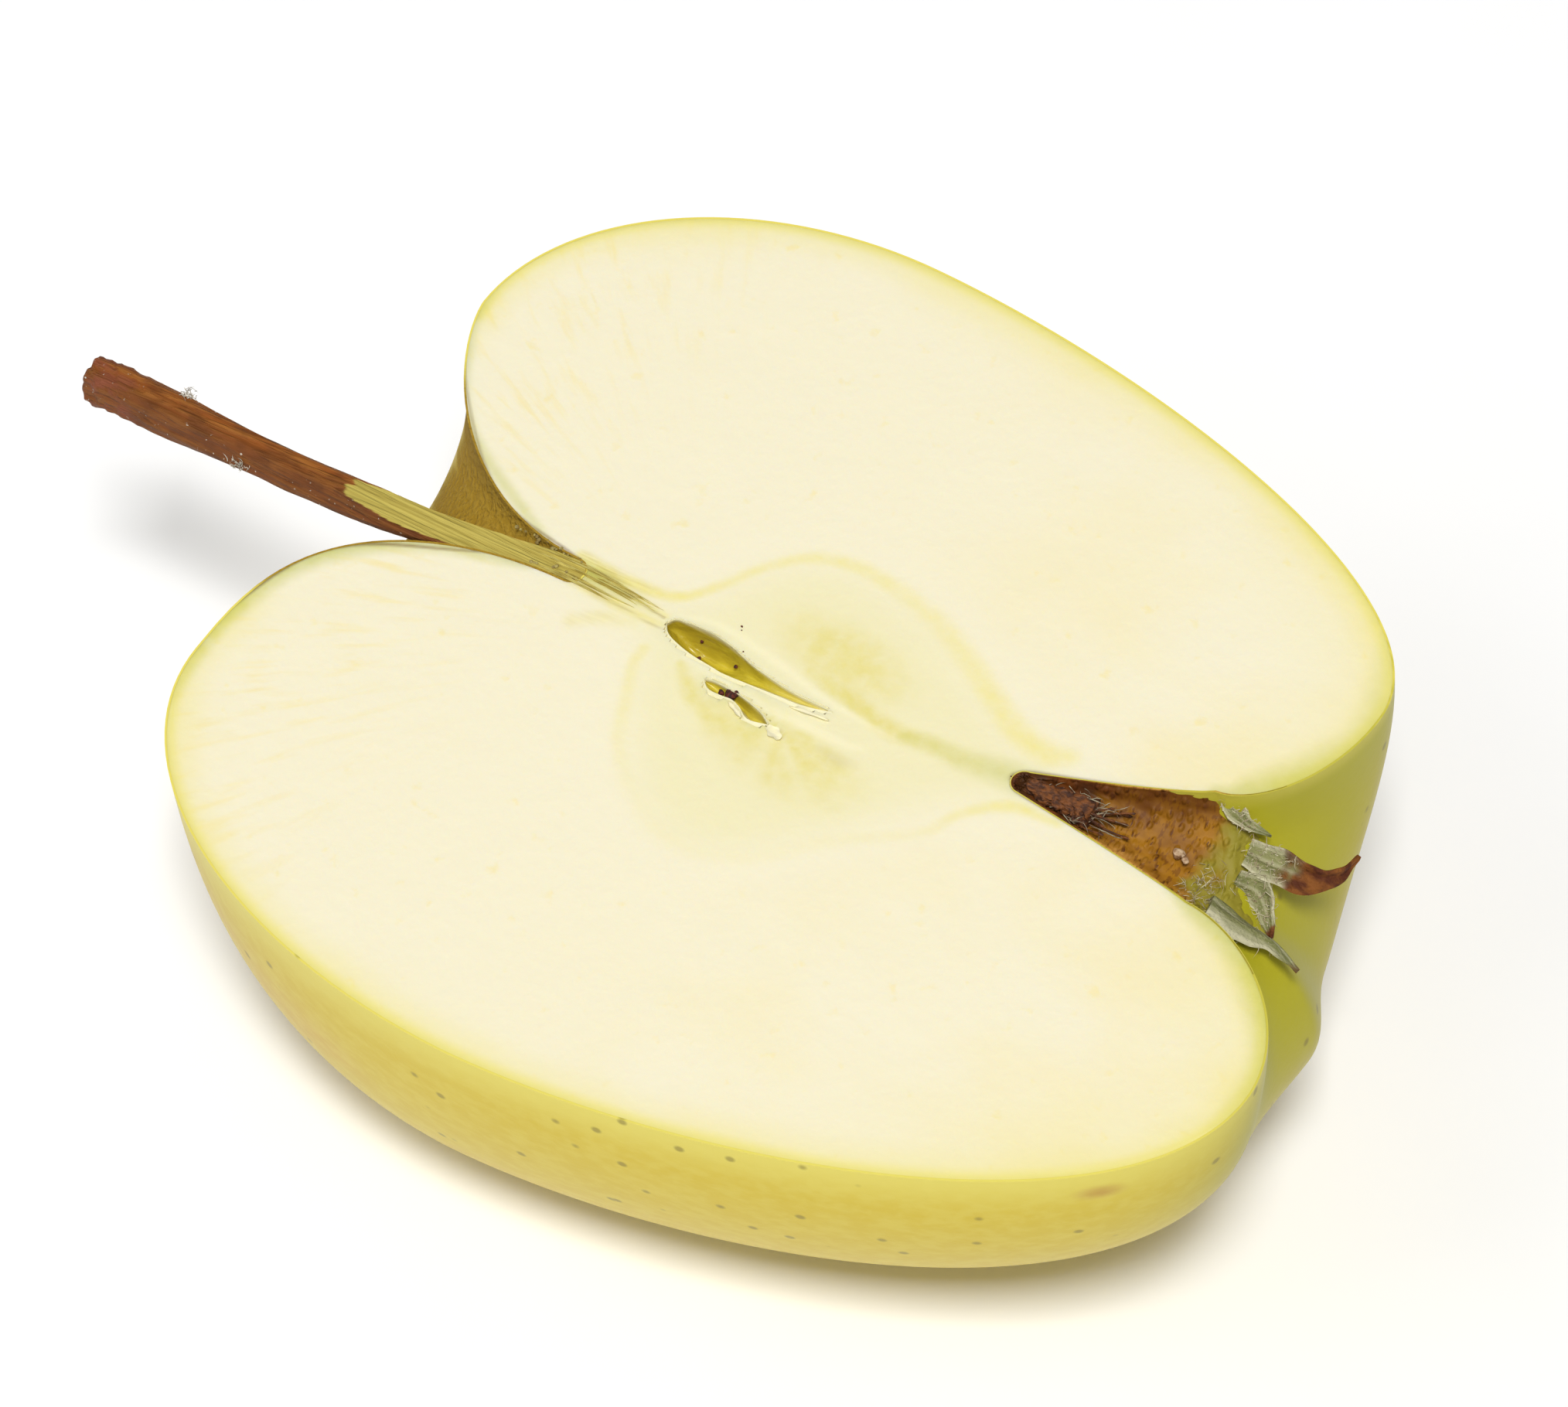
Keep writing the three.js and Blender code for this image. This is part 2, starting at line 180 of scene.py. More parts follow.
def outline(azimuth, place):
    """Along and radius of the outline at each azimuth (rows) and place (rows by columns).

    A place counts landmarks: 2.5 is halfway in turn from landmark 2 to landmark 3, and each
    stretch runs from its landmark to the next by its two laws."""
    along, radius = landmarks_at(azimuth)
    start = np.clip(np.floor(place).astype(int), 0, len(LAWS) - 1)
    turn = (place - start) * (np.pi / 2)
    row = np.broadcast_to(np.arange(len(azimuth))[:, None], place.shape)
    flare = np.broadcast_to(eased(CAVITY_FLARE, azimuth)[:, None], place.shape)
    share_along, share_out = np.zeros(place.shape), np.zeros(place.shape)
    for number, (along_law, out_law) in enumerate(LAWS):
        here = start == number
        share_along[here] = along_law(turn[here])
        share_out[here] = out_law(turn[here], flare[here])
    x = along[start, row] + (along[start + 1, row] - along[start, row]) * share_along
    r = radius[start, row] + (radius[start + 1, row] - radius[start, row]) * share_out
    return x, r


def back_surface(azimuth, place):
    """Points of the half's rounded back: the outline swung about the core.

    A point is (along, -radius cos azimuth, -radius sin azimuth)."""
    x, r = outline(azimuth, place)
    swing = azimuth[:, None]
    points = np.stack([x, -r * np.cos(swing), -r * np.sin(swing)], axis=-1)
    points[[0, -1], :, 2] = 0
    return points


def unit(vectors):
    """Vectors scaled to length 1."""
    return vectors / np.maximum(np.linalg.norm(vectors, axis=-1, keepdims=True), TINY)


def grid_normals(points):
    """Unit normals of a grid of points, from the cross product of its two directions.

    A pole borrows its neighbour's."""
    normals = unit(np.cross(np.gradient(points, axis=0), np.gradient(points, axis=1)))
    normals[:, 0], normals[:, -1] = normals[:, 1], normals[:, -2]
    return normals


def back_normals(points):
    """Unit normals of a grid on the half's back, with those of its two rims in the cut face."""
    normals = grid_normals(points)
    normals[[0, -1], :, 2] = 0
    return unit(normals)


def sunk(points, depth):
    """A grid on the back moved inwards by a depth, its rims kept in the cut face."""
    inner = points - back_normals(points) * depth
    inner[:, [0, -1], 1:] = 0
    return inner


def back_grid(steps_round, row):
    """Azimuths of an even grid on the back, the place of each of its points, and the points."""
    azimuth = np.linspace(0, np.pi, steps_round + 1)
    places = np.broadcast_to(row, (len(azimuth), len(row)))
    return azimuth, places, back_surface(azimuth, places)


# ---- Small tools for shapes ----
NOISE_LATTICE = 64  # values along each side of the noise's table, which then repeats
DISTANCE_BLOCK = 8000  # points whose distances are worked out at once
STROKE_STEPS = 200
PEBBLE_ROWS, PEBBLE_COLUMNS = 8, 12
PEBBLE_DENTS = (0.18, 2.2)  # depth as a share of the radius, and how closely they follow
MERGE_REACH, DEGENERATE_REACH = 2e-7, 1e-8  # metres


def rounded(way, power=2):
    """1 at no way and 0 at a way of 1: the root of 1 less the way to a power."""
    return np.sqrt(np.clip(1 - np.abs(way) ** power, 0, 1))


def curve_through(points, count):
    """A Catmull-Rom curve through the points, sampled at evenly spaced parameters."""
    knots = np.asarray(points, float)
    knots = np.vstack([2 * knots[0] - knots[1], knots, 2 * knots[-1] - knots[-2]])
    spans = len(knots) - 3
    where = np.linspace(0, spans, count)
    span = np.minimum(where.astype(int), spans - 1)
    t = (where - span)[:, None]
    a, b, c, d = (knots[span + step] for step in range(4))
    return 0.5 * (
        2 * b + (c - a) * t + (2 * a - 5 * b + 4 * c - d) * t**2 + (3 * b - a - 3 * c + d) * t**3
    )


def value_noise(x, y, cell, seed):
    """Smooth noise from -1 to 1: random values on a square lattice, blended by S-curves."""
    side = NOISE_LATTICE
    table = np.random.default_rng(seed).uniform(-1, 1, (side, side))
    u, v = np.asarray(x) / cell, np.asarray(y) / cell
    i, j = np.floor(u).astype(int), np.floor(v).astype(int)
    s, t = smooth(u - i, 0, 1), smooth(v - j, 0, 1)
    low, high = (
        table[i % side, row % side] * (1 - s) + table[(i + 1) % side, row % side] * s
        for row in (j, j + 1)
    )
    return low * (1 - t) + high * t


def layered_noise(x, y, cell, seed, octaves=3):
    """Value noise with ever finer and fainter copies of itself added."""
    return sum(value_noise(x, y, cell / 2**n, seed + n) / 2**n for n in range(octaves))


def nearest_on(points, line):
    """For each flat point, its distance from the nearest of a line's points, and which that is.

    By blocks of points, a squared distance is both squared lengths less twice their product."""
    distance, nearest = [], []
    for block in np.array_split(points, 1 + len(points) // DISTANCE_BLOCK):
        square = (block**2).sum(1)[:, None] + (line**2).sum(1) - 2 * block @ line.T
        nearest.append(square.argmin(1))
        distance.append(np.sqrt(np.maximum(square.min(1), 0)))
    return np.concatenate(distance), np.concatenate(nearest)


def stroked(points, strokes):
    """How strongly strokes mark each flat point: fully along their middles, easing to 0 beside.

    A stroke is a curve through places, each with its half width and its strength there."""
    mark = np.zeros(len(points))
    for stroke in strokes:
        line = curve_through(stroke, STROKE_STEPS)
        distance, nearest = nearest_on(points, line[:, :2])
        width, strength = line[nearest, 2], line[nearest, 3]
        mark = np.maximum(mark, strength * smooth(distance / width, 1, 0))
    return mark


def inside(points, loop):
    """Whether each flat point lies within a closed loop, by counting the edges left of it."""
    x, y = points[:, 0], points[:, 1]
    odd = np.zeros(len(points), bool)
    for (x1, y1), (x2, y2) in zip(loop, np.roll(loop, -1, axis=0)):
        crosses = (y1 > y) != (y2 > y)
        odd ^= crosses & (x < (x2 - x1) * (y - y1) / (y2 - y1 + 1e-12) + x1)
    return odd


def grid_quads(rows, columns, first=0, flip=False, round_columns=False):
    """Quads of a grid of vertices, row after row, whose normal is rows crossed with columns."""
    index = first + np.arange(rows * columns).reshape(rows, columns)
    if round_columns:
        index = np.hstack([index, index[:, :1]])
    quads = np.stack([index[:-1, :-1], index[1:, :-1], index[1:, 1:], index[:-1, 1:]], axis=-1)
    quads = quads.reshape(-1, 4)
    return quads[:, ::-1] if flip else quads


def shell(outer, inner, close_columns=False):
    """A closed skin between two grids: both faces, and strips that join their first and last rows.

    With close_columns the first and last columns are joined too; without it they are poles."""
    rows, columns = outer.shape[:2]
    count = rows * columns
    faces = [grid_quads(rows, columns), grid_quads(rows, columns, count, flip=True)]
    top = np.arange(count).reshape(rows, columns)
    edges = [top[0], top[-1, ::-1]]
    if close_columns:
        edges += [top[::-1, 0], top[:, -1]]
    for edge in edges:
        strip = np.stack([edge[:-1], edge[1:], edge[1:] + count, edge[:-1] + count], axis=-1)
        faces.append(strip)
    return np.vstack([outer.reshape(-1, 3), inner.reshape(-1, 3)]), np.vstack(faces)


def swept(path, radius, sides):
    """Rings round a path, as a grid: a point is the path's plus radius times its spoke.

    radius holds one value a ring, or one a ring and side. The spokes turn from the vertical."""
    tangent = unit(np.gradient(path, axis=-2))
    upright = np.where(np.abs(tangent[..., 2:]) > 0.9, [1.0, 0, 0], [0, 0, 1.0])
    side = unit(np.cross(upright, tangent))
    up = np.cross(tangent, side)
    angle = np.linspace(0, 2 * np.pi, sides, endpoint=False)[:, None]
    spoke = side[..., None, :] * np.cos(angle) + up[..., None, :] * np.sin(angle)
    reach = np.asarray(radius)
    reach = reach[..., None] if reach.ndim == path.ndim - 1 else reach
    return path[..., None, :] + spoke * reach[..., None]


def ringed(points):
    """A grid of points, ring by side, as vertices and the quads of a tube."""
    return points.reshape(-1, 3), grid_quads(*points.shape[:2], round_columns=True, flip=True)


def repeated(points, quads):
    """Vertices and quads of many like parts, from their points as an array, part by vertex."""
    offset = points.shape[1] * np.arange(len(points))[:, None, None]
    return points.reshape(-1, 3), (quads[None] + offset).reshape(-1, 4)


def hairs(roots, ends, width, rng, bend=0.25, rings=5):
    """Thin tapered hairs from roots to ends, as three-sided tubes.

    A path is the straight way plus a random sideways arc and a curl that grows to its end."""
    share = np.linspace(0, 1, rings)[None, :, None]
    length = np.linalg.norm(ends - roots, axis=1)[:, None, None]
    arc = rng.normal(0, bend, (len(roots), 1, 3)) * length * np.sin(np.pi * share)
    curl = rng.normal(0, bend / 2, (len(roots), 1, 3)) * length * share**2
    path = roots[:, None] + (ends - roots)[:, None] * share + arc + curl
    radius = np.broadcast_to(width / 2 * (1 - share[..., 0] ** 3), path.shape[:2])
    points = swept(path, radius, 3).reshape(len(roots), -1, 3)
    return repeated(points, grid_quads(rings, 3, round_columns=True, flip=True))


def pebbles(places, rng, squash=0.7):
    """Small lumpy grains, each a flattened ball with its own dents, from places with a radius.

    The dents are a sine of a random mix of the ball's three directions."""
    places = np.array(places, float)
    up = np.linspace(0, np.pi, PEBBLE_ROWS)[:, None]
    round_ = np.linspace(0, 2 * np.pi, PEBBLE_COLUMNS, endpoint=False)
    level = np.broadcast_to(np.cos(up), (PEBBLE_ROWS, PEBBLE_COLUMNS))
    ball = np.stack([np.sin(up) * np.cos(round_), np.sin(up) * np.sin(round_), level], axis=-1)
    ball = ball.reshape(-1, 3)
    depth, closeness = PEBBLE_DENTS
    mix = ball @ rng.normal(0, closeness, (3, len(places))) + rng.uniform(0, 6, len(places))
    reach = (1 + depth * np.sin(mix)).T[..., None] * places[:, 3, None, None]
    points = ball[None] * reach * [1, 1, squash] + places[:, None, :3]
    return repeated(points, grid_quads(PEBBLE_ROWS, PEBBLE_COLUMNS, round_columns=True))


def joined(*parts):
    """Several (vertices, faces) pairs as one."""
    offsets = np.cumsum([0] + [len(vertices) for vertices, _ in parts[:-1]])
    vertices = np.vstack([vertices for vertices, _ in parts])
    return vertices, np.vstack([faces + offset for (_, faces), offset in zip(parts, offsets)])


def make_piece(name, part, material, replaces=(), marks=None, crease=40):
    """A smooth-shaded piece on the root body, its doubled vertices merged.

    The part is in the apple's frame in millimetres. Each mark is one number a vertex, which
    the material reads by its name."""
    vertices, faces = part
    mesh = bpy.data.meshes.new(name)
    mesh.from_pydata(to_row(vertices), [], faces)
    for mark, values in (marks or {}).items():
        attribute = mesh.attributes.new(mark, "FLOAT", "POINT")
        attribute.data.foreach_set("value", np.asarray(values, np.float32).ravel())
    shape = bmesh.new()
    shape.from_mesh(mesh)
    bmesh.ops.remove_doubles(shape, verts=shape.verts, dist=MERGE_REACH)
    bmesh.ops.dissolve_degenerate(shape, edges=shape.edges, dist=DEGENERATE_REACH)
    shape.to_mesh(mesh)
    shape.free()
    mesh.polygons.foreach_set("use_smooth", [True] * len(mesh.polygons))
    mesh.set_sharp_from_angle(angle=math.radians(crease))
    mesh.materials.append(material)
    piece = bpy.data.objects.new(name, mesh)
    bpy.context.scene.collection.objects.link(piece)
    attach(piece, "root")
    if replaces:
        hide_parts(*replaces)
    return piece


# ---- Small tools for materials ----
MIX_FACTOR, MIX_A, MIX_B, MIX_RESULT = 0, 6, 7, 2  # a Mix node's sockets when it mixes colours


def linear(colour):
    """An sRGB hex value as linear red, green, blue and full alpha."""
    channels = [int(colour[place : place + 2], 16) / 255 for place in (1, 3, 5)]
    return (*(c / 12.92 if c <= 0.04045 else ((c + 0.055) / 1.055) ** 2.4 for c in channels), 1.0)


def add_node(tree, kind, settings=None, links=None):
    """A node with its settings, each a socket or else a property, and its links from sockets."""
    node = tree.nodes.new(kind)
    for name, value in (settings or {}).items():
        if isinstance(name, int) or name in node.inputs:
            node.inputs[name].default_value = value
        else:
            setattr(node, name, value)
    for name, socket in (links or {}).items():
        tree.links.new(socket, node.inputs[name])
    return node


def new_material(name):
    """An empty material: its node tree and its surface shader."""
    material = bpy.data.materials.new(name)
    material.use_nodes = True
    tree = material.node_tree
    tree.nodes.clear()
    shader = add_node(tree, "ShaderNodeBsdfPrincipled")
    add_node(tree, "ShaderNodeOutputMaterial", links={"Surface": shader.outputs["BSDF"]})
    return material, tree, shader


def apple_coordinates(tree):
    """Object coordinates moved and turned to the apple's own frame, in millimetres."""
    place = add_node(tree, "ShaderNodeTexCoord")
    settings = {
        "vector_type": "TEXTURE",
        "Location": SHIFT * MM,
        "Rotation": (FACE_ROLL, 0, 0),
        "Scale": (MM, MM, MM),
    }
    links = {"Vector": place.outputs["Object"]}
    return add_node(tree, "ShaderNodeMapping", settings, links).outputs[0]


def textured(tree, kind, coordinates, size, settings, seed=0.0):
    """A texture on coordinates in millimetres, each of its cells about a size along x, y and z."""
    stretch = {"Scale": 1 / np.broadcast_to(size, 3), "Location": (seed, seed, seed)}
    moved = add_node(tree, "ShaderNodeMapping", stretch, {"Vector": coordinates})
    return add_node(tree, kind, {"Scale": 1.0, **settings}, {"Vector": moved.outputs[0]})


def eased_mask(tree, value, full, none):
    """A mask from a socket: 1 where its value is at full, easing to 0 at none."""
    low, high = sorted((full, none))
    ranged = {"interpolation_type": "SMOOTHSTEP", "From Min": low, "From Max": high}
    ranged.update({"To Min": float(full == low), "To Max": float(full == high)})
    return add_node(tree, "ShaderNodeMapRange", ranged, {"Value": value}).outputs[0]


def mottle(tree, coordinates, size, none, full, detail=2.0, seed=0.0):
    """Cloudy patches: a mask that eases from 0 to 1 between two levels of noise."""
    noise = textured(tree, "ShaderNodeTexNoise", coordinates, size, {"Detail": detail}, seed)
    return eased_mask(tree, noise.outputs["Fac"], full, none)


def spots(tree, coordinates, size, full, none):
    """A round spot in each cell: a mask that is 1 up to a share of the cell from its middle."""
    cells = textured(tree, "ShaderNodeTexVoronoi", coordinates, size, {})
    return eased_mask(tree, cells.outputs["Distance"], full, none)


def product(tree, factors):
    """The product of factors, as a mask.

    A factor is a mask, a plain number, the name of a number that the mesh stores, or that
    name with the values at which its mask is 1 and 0."""
    result = None
    for factor in factors:
        name, *ends = factor if isinstance(factor, tuple) else (factor,)
        if isinstance(name, str):
            stored = add_node(tree, "ShaderNodeAttribute", {"attribute_name": name})
            factor = stored.outputs["Fac"]
        if ends:
            factor = eased_mask(tree, factor, *ends)
        if result is None:
            result = factor
            continue
        settings, links = {"operation": "MULTIPLY"}, {0: result}
        (settings if isinstance(factor, float) else links)[1] = factor
        result = add_node(tree, "ShaderNodeMath", settings, links).outputs[0]
    return result


def finish(tree, shader, base, layers, sockets):
    """Paints the shader with a base colour and layers over it, and sets its plain sockets.

    A layer is the factors of its mask, and the colour that shows where the mask is 1."""
    colour = None
    for factors, tint in layers:
        settings, links = {"data_type": "RGBA", MIX_B: tint}, {MIX_FACTOR: product(tree, factors)}
        if colour is None:
            settings[MIX_A] = base
        else:
            links[MIX_A] = colour
        colour = add_node(tree, "ShaderNodeMix", settings, links).outputs[MIX_RESULT]
    tree.links.new(colour, shader.inputs["Base Color"])
    for socket, value in sockets.items():
        shader.inputs[socket].default_value = value


def bumped(tree, shader, height, distance):
    """Feeds a height of 0 to 1, worth a distance in millimetres, to the shader's normal."""
    settings = {"Strength": 1.0, "Distance": distance * MM}
    bump = add_node(tree, "ShaderNodeBump", settings, {"Height": height})
    tree.links.new(bump.outputs["Normal"], shader.inputs["Normal"])


# Second colours: stains, patches, edges and threads, and painted shade and light, of each finish.
SHADES = {
    name: linear(colour)
    for name, colour in {
        "cell_lip": "#EDE6C0", "vessel_thread": "#A99742", "cell_stain": "#8E7A12",
        "cell_shaded": "#A89020", "cell_lit": "#DCCB74", "grain": "#5E1E04", "scrap": "#DDD6B4",
        "skin_cut": "#DFD060", "blemish": "#AE7C38", "russet_grit": "#A98A34",
        "tube_cloud": "#6B3F08", "tube_long_side": "#BF8B40", "tube_brown_side": "#4E2206",
        "tube_speck": "#5A2E0A", "tube_mouth": "#8C8428", "tube_crust": "#7A400D",
        "bark_blotch": "#512A0C", "bark_painted_shade": "#4E2A10", "knob": "#8A4A34",
        "slice_strand": "#8F7A2A", "slice_edge": "#6E4A14", "tuft": "#A79F90",
        "fibre": "#D3C672", "fibre_dark": "#AE9A45", "crumb": "#A89A58", "crumb_dark": "#7A6430",
        "leaf_patch": "#5F6434", "leaf_pale": "#A9A57C", "leaf_dry": "#8F5720", "wool": "#A08A70",
        "stamen": "#74400F", "anther": "#C9AE8C", "anther_dark": "#8E6A48", "thread": "#8B7058",
        "floor": "#F5F5F4",
    }.items()
}
# Noise on the shapes and at the edges of marks: the size of its largest cells, and its seed. Its
# coordinates are stretched where it is used, so only some of the sizes are millimetres.
NOISE = {
    "ripple": (4.5, 3), "tear": (1.1, 9), "stain_rays": (1.0, 17, 2), "cell_wrinkle": (0.7, 21),
    "russet_rays": (1.0, 31), "green_ribs": (1.0, 41), "tube_rib": (1.0, 51),
    "tube_lump": (1.0, 52), "tube_edge": (1.0, 53), "tube_patch": (1.0, 61), "bark": (0.5, 71),
    "crust": (0.75, 72), "fine_crust": (0.35, 73), "slice": (1.0, 74), "sepal_wave": (1.0, 81),
    "sepal_dry": (1.2, 91), "stamen_lump": (0.8, 101),
}

# ---- Settings ----
def colour_property(name, description, colour):
    """A colour, given as an sRGB hex value."""
    return bpy.props.FloatVectorProperty(
        name=name, description=description, subtype="COLOR", size=4, min=0, max=1,
        default=linear(colour)
    )


def length_property(name, description, millimetres):
    """A length, given in millimetres and kept in metres."""
    return bpy.props.FloatProperty(
        name=name, description=description, unit="LENGTH", precision=5, min=0,
        default=millimetres * MM
    )


def angle_property(name, description, degrees):
    """An angle, given in degrees and kept in radians."""
    return bpy.props.FloatProperty(
        name=name, description=description, subtype="ANGLE", default=math.radians(degrees)
    )


def amount_property(name, description, amount):
    """A plain number that is never under zero."""
    return bpy.props.FloatProperty(name=name, description=description, min=0, default=amount)


class CutFaceSettings(bpy.types.PropertyGroup):
    cream: colour_property("Cream", "The open flesh of the cheeks", "#E7E0C3")
    core_tint: colour_property("Core", "The flesh inside the core line", "#E3DCAF")
    core_line: colour_property("Core line", "Vessels round the core and from the stem", "#E2D67C")
    fleck: colour_property("Flecks", "Yellow flecks and streaks in the cheeks", "#E7D68C")
    rim: colour_property("Rim", "The flesh right under the skin", "#E2D572")
    green: colour_property("Green", "Flesh at the two ends of the core", "#B9B94E")
    olive: colour_property("Olive", "Flesh beside the seed cells", "#D9CD74")
    bruise: colour_property("Bruise", "Thin browned lines", "#6B4214")
    ripple: length_property("Ripple", "Height of the tears that the knife left", 0.03)


class SkinSettings(bpy.types.PropertyGroup):
    thickness: length_property("Thickness", "Thickness of the skin", 0.15)
    yellow: colour_property("Yellow", "The skin of the cheeks", "#CDB432")
    pale: colour_property("Pale", "The skin next to the cut", "#DCCE62")
    green: colour_property("Green", "The skin of the flower end", "#A7A01F")
    blush: colour_property("Blush", "The warm side of the skin", "#CDA24C")
    russet: colour_property("Russet", "The rough skin of the stem cavity", "#94721C")
    dot: colour_property("Dots", "The pores of the skin", "#6F5F22")


class CoreSettings(bpy.types.PropertyGroup):
    paper: colour_property("Paper", "The pale paper of the cell walls", "#E9E1B4")
    wall: colour_property("Wall", "The shiny inside of a seed cell", "#CDB933")
    speck: colour_property("Specks", "Dark grains in the cells", "#2A0F06")


class StemSettings(bpy.types.PropertyGroup):
    bark: colour_property("Bark", "The dry bark", "#884A16")
    ridge: colour_property("Ridges", "The worn ridges of the bark", "#A8702E")
    pith: colour_property("Pith", "The sliced inside", "#BBAA52")
    fuzz: colour_property("Fuzz", "The tufts on the bark", "#CFC8B8")


class FlowerSettings(bpy.types.PropertyGroup):
    felt: colour_property("Felt", "The grey-green felt of a sepal", "#7F7F50")
    tip: colour_property("Tip", "The dry tip of a sepal", "#502612")
    wool: colour_property("Wool", "The pale hairs", "#C9C3A4")
    amber: colour_property("Amber", "The wall of the flower tube", "#996708")
    dark: colour_property("Dark", "Dead tissue in the tube", "#3C1D09")


class StageSettings(bpy.types.PropertyGroup):
    floor: colour_property("Floor", "The plain floor", "#FAFAFA")
    azimuth: angle_property("Azimuth", "Camera angle round the apple", 32.0)
    elevation: angle_property("Elevation", "Camera angle above the floor", 45.6)
    key: amount_property("Key light", "Power in watts", 80.0)
    side: amount_property("Side light", "Power in watts", 16.0)
    fill: amount_property("Fill", "Brightness of the sky", 0.23)


# ---- Cut face and flesh ----
STEM_COLUMNS, CORE_COLUMNS, FLOWER_COLUMNS = 70, 224, 80
FACE_ROWS = 84
FACE_CROWDING = 1.6  # rows of the face crowd towards the core by this power
COLUMN_CROWDING = 1.7  # and its columns towards the two ends of the core by this one
BACK_STEPS = 44
RIM_STEP = 0.03  # the flesh lies this far below the skin's cut edge
RIM_SAMPLES, CORE_LINE_STEPS = 6001, 900
CALM_OVAL = ([-3, -2.2], [9.5, 3.4])  # middle and radii of the oval in which the ripples fade
FAN_FROM = -6  # streaks fan out through the cheeks from this place along the core
OUTER_RIM = (-0.1, 0.6)  # the rim's tint begins this far past the shoulder and ends past the crown

# The core line is a ring of vessels, as places on the cut face.
CORE_LINE = [
    [-18.6, 0.9], [-15.4, 0.95], [-11.7, 1.1], [-9.1, 2.7], [-7.3, 5.7], [-4.9, 8.35],
    [-1.8, 9.75], [1.9, 9.75], [7.3, 8.6], [11.1, 6.4], [14.6, 4.4], [17.6, 3.1], [20.5, 3.9],
    [20.2, -1.6], [15.4, -4.6], [10.3, -10.2], [4.9, -14.9], [0, -16.1], [-4.3, -13.7],
    [-8.6, -8.2], [-11.3, -3.0], [-18.2, -0.9],
]
# Strokes on the cut face, by the mark that they make. Each place of a stroke has its half width
# and its strength.
STROKES = {
    "vessel": [
        [[-17.9, 1.2, 0.9, 0.9], [-14.15, 1.0, 0.9, 0.95], [-10.3, 1.6, 0.7, 0.8],
         [-8.3, 3.7, 0.7, 0.55], [-6.3, 6.75, 0.7, 0.45], [-3.65, 9.1, 0.8, 0.5],
         [-0.2, 9.8, 0.9, 0.5], [3.7, 9.3, 1.1, 0.4], [7.1, 8.25, 1.3, 0.4],
         [11.05, 6.2, 1.4, 0.5], [15.3, 3.7, 1.5, 0.6], [18.4, 2.8, 1.5, 0.65],
         [20.2, 3.2, 1.2, 0.4]],
        [[-9.9, -3.2, 0.7, 0.4], [-9.75, -4.75, 0.75, 0.42], [-8.75, -7.1, 0.8, 0.32],
         [-7, -10.7, 0.9, 0.2], [-3.8, -13.75, 0.9, 0.1], [0.2, -15.6, 0.9, 0.08],
         [5.2, -14.6, 0.9, 0.08], [10.3, -10.1, 0.9, 0.12], [14.8, -6.8, 0.8, 0.22],
         [16.2, -4.3, 0.7, 0.4], [18.9, -2.1, 0.8, 0.65], [22.4, -1.75, 0.6, 0.5]],
        [[-17.6, -0.5, 0.9, 0.75], [-13.6, -0.9, 0.8, 0.7], [-10.5, -1.0, 0.55, 0.5],
         [-9.6, -0.7, 0.4, 0.3]],
        [[-17.3, 0.4, 0.9, 0.8], [-13, 0.1, 0.8, 0.6], [-10, -0.2, 0.5, 0.4]],
        [[-15.6, -3.6, 1.0, 0.25], [-13.8, -2.4, 1.1, 0.3], [-11.6, -1.8, 0.7, 0.15]],
    ],
    "green": [
        [[-17.5, 0.35, 1.1, 1.0], [-16, 0.3, 1.1, 0.85], [-14, 0.1, 0.9, 0.5],
         [-11, -0.2, 0.5, 0.2]],
        [[9.7, -0.7, 1.0, 0.25], [11.8, -0.4, 1.2, 0.28], [14.3, -0.4, 1.5, 0.35],
         [17, 0, 1.8, 0.5], [18.4, 0, 1.8, 0.5]],
    ],
    "olive": [
        [[1.2, 0.7, 0.7, 0.5], [3.6, 0.2, 0.9, 0.95], [6.0, -0.2, 1.1, 1], [8.6, -0.7, 1.2, 0.9],
         [12, -0.4, 1.2, 0.5], [15, -0.4, 1.2, 0.3]],
        [[-6.9, -3.1, 0.6, 0.6], [-5.0, -4.8, 1.0, 0.8], [-2.0, -6.0, 1.2, 0.6]],
    ],
    "bruise": [
        [[-17.5, 0.56, 0.16, 0.6], [-15.7, 0.39, 0.16, 0.4], [-13.1, 0, 0.14, 0.25],
         [-10.1, -0.34, 0.16, 0.5]],
        [[-17.4, -0.75, 0.16, 0.5], [-13.6, -0.97, 0.14, 0.25], [-9.6, -1.3, 0.14, 0.3]],
        [[5.0, -4.3, 0.6, 0.06], [6.5, -4.6, 0.9, 0.12], [7.9, -4.3, 0.6, 0.06]],
    ],
    "pale": [
        [[-9.3, 0.4, 0.35, 0.5], [-6.5, 0.95, 0.5, 0.8], [-3.6, 0.65, 0.6, 0.8],
         [-0.4, 0.1, 0.6, 0.8], [2.8, -0.7, 0.5, 0.8], [6.65, -1.1, 0.4, 0.7],
         [9.2, -1.3, 0.3, 0.4]],
        [[-7, -2.4, 0.4, 0.7], [-3.3, -2.9, 0.6, 0.9], [-0.2, -3.3, 0.7, 0.9],
         [2.8, -3.3, 0.7, 0.9], [6.1, -3.3, 0.6, 0.7], [7.8, -2.9, 0.4, 0.4]],
    ],
}
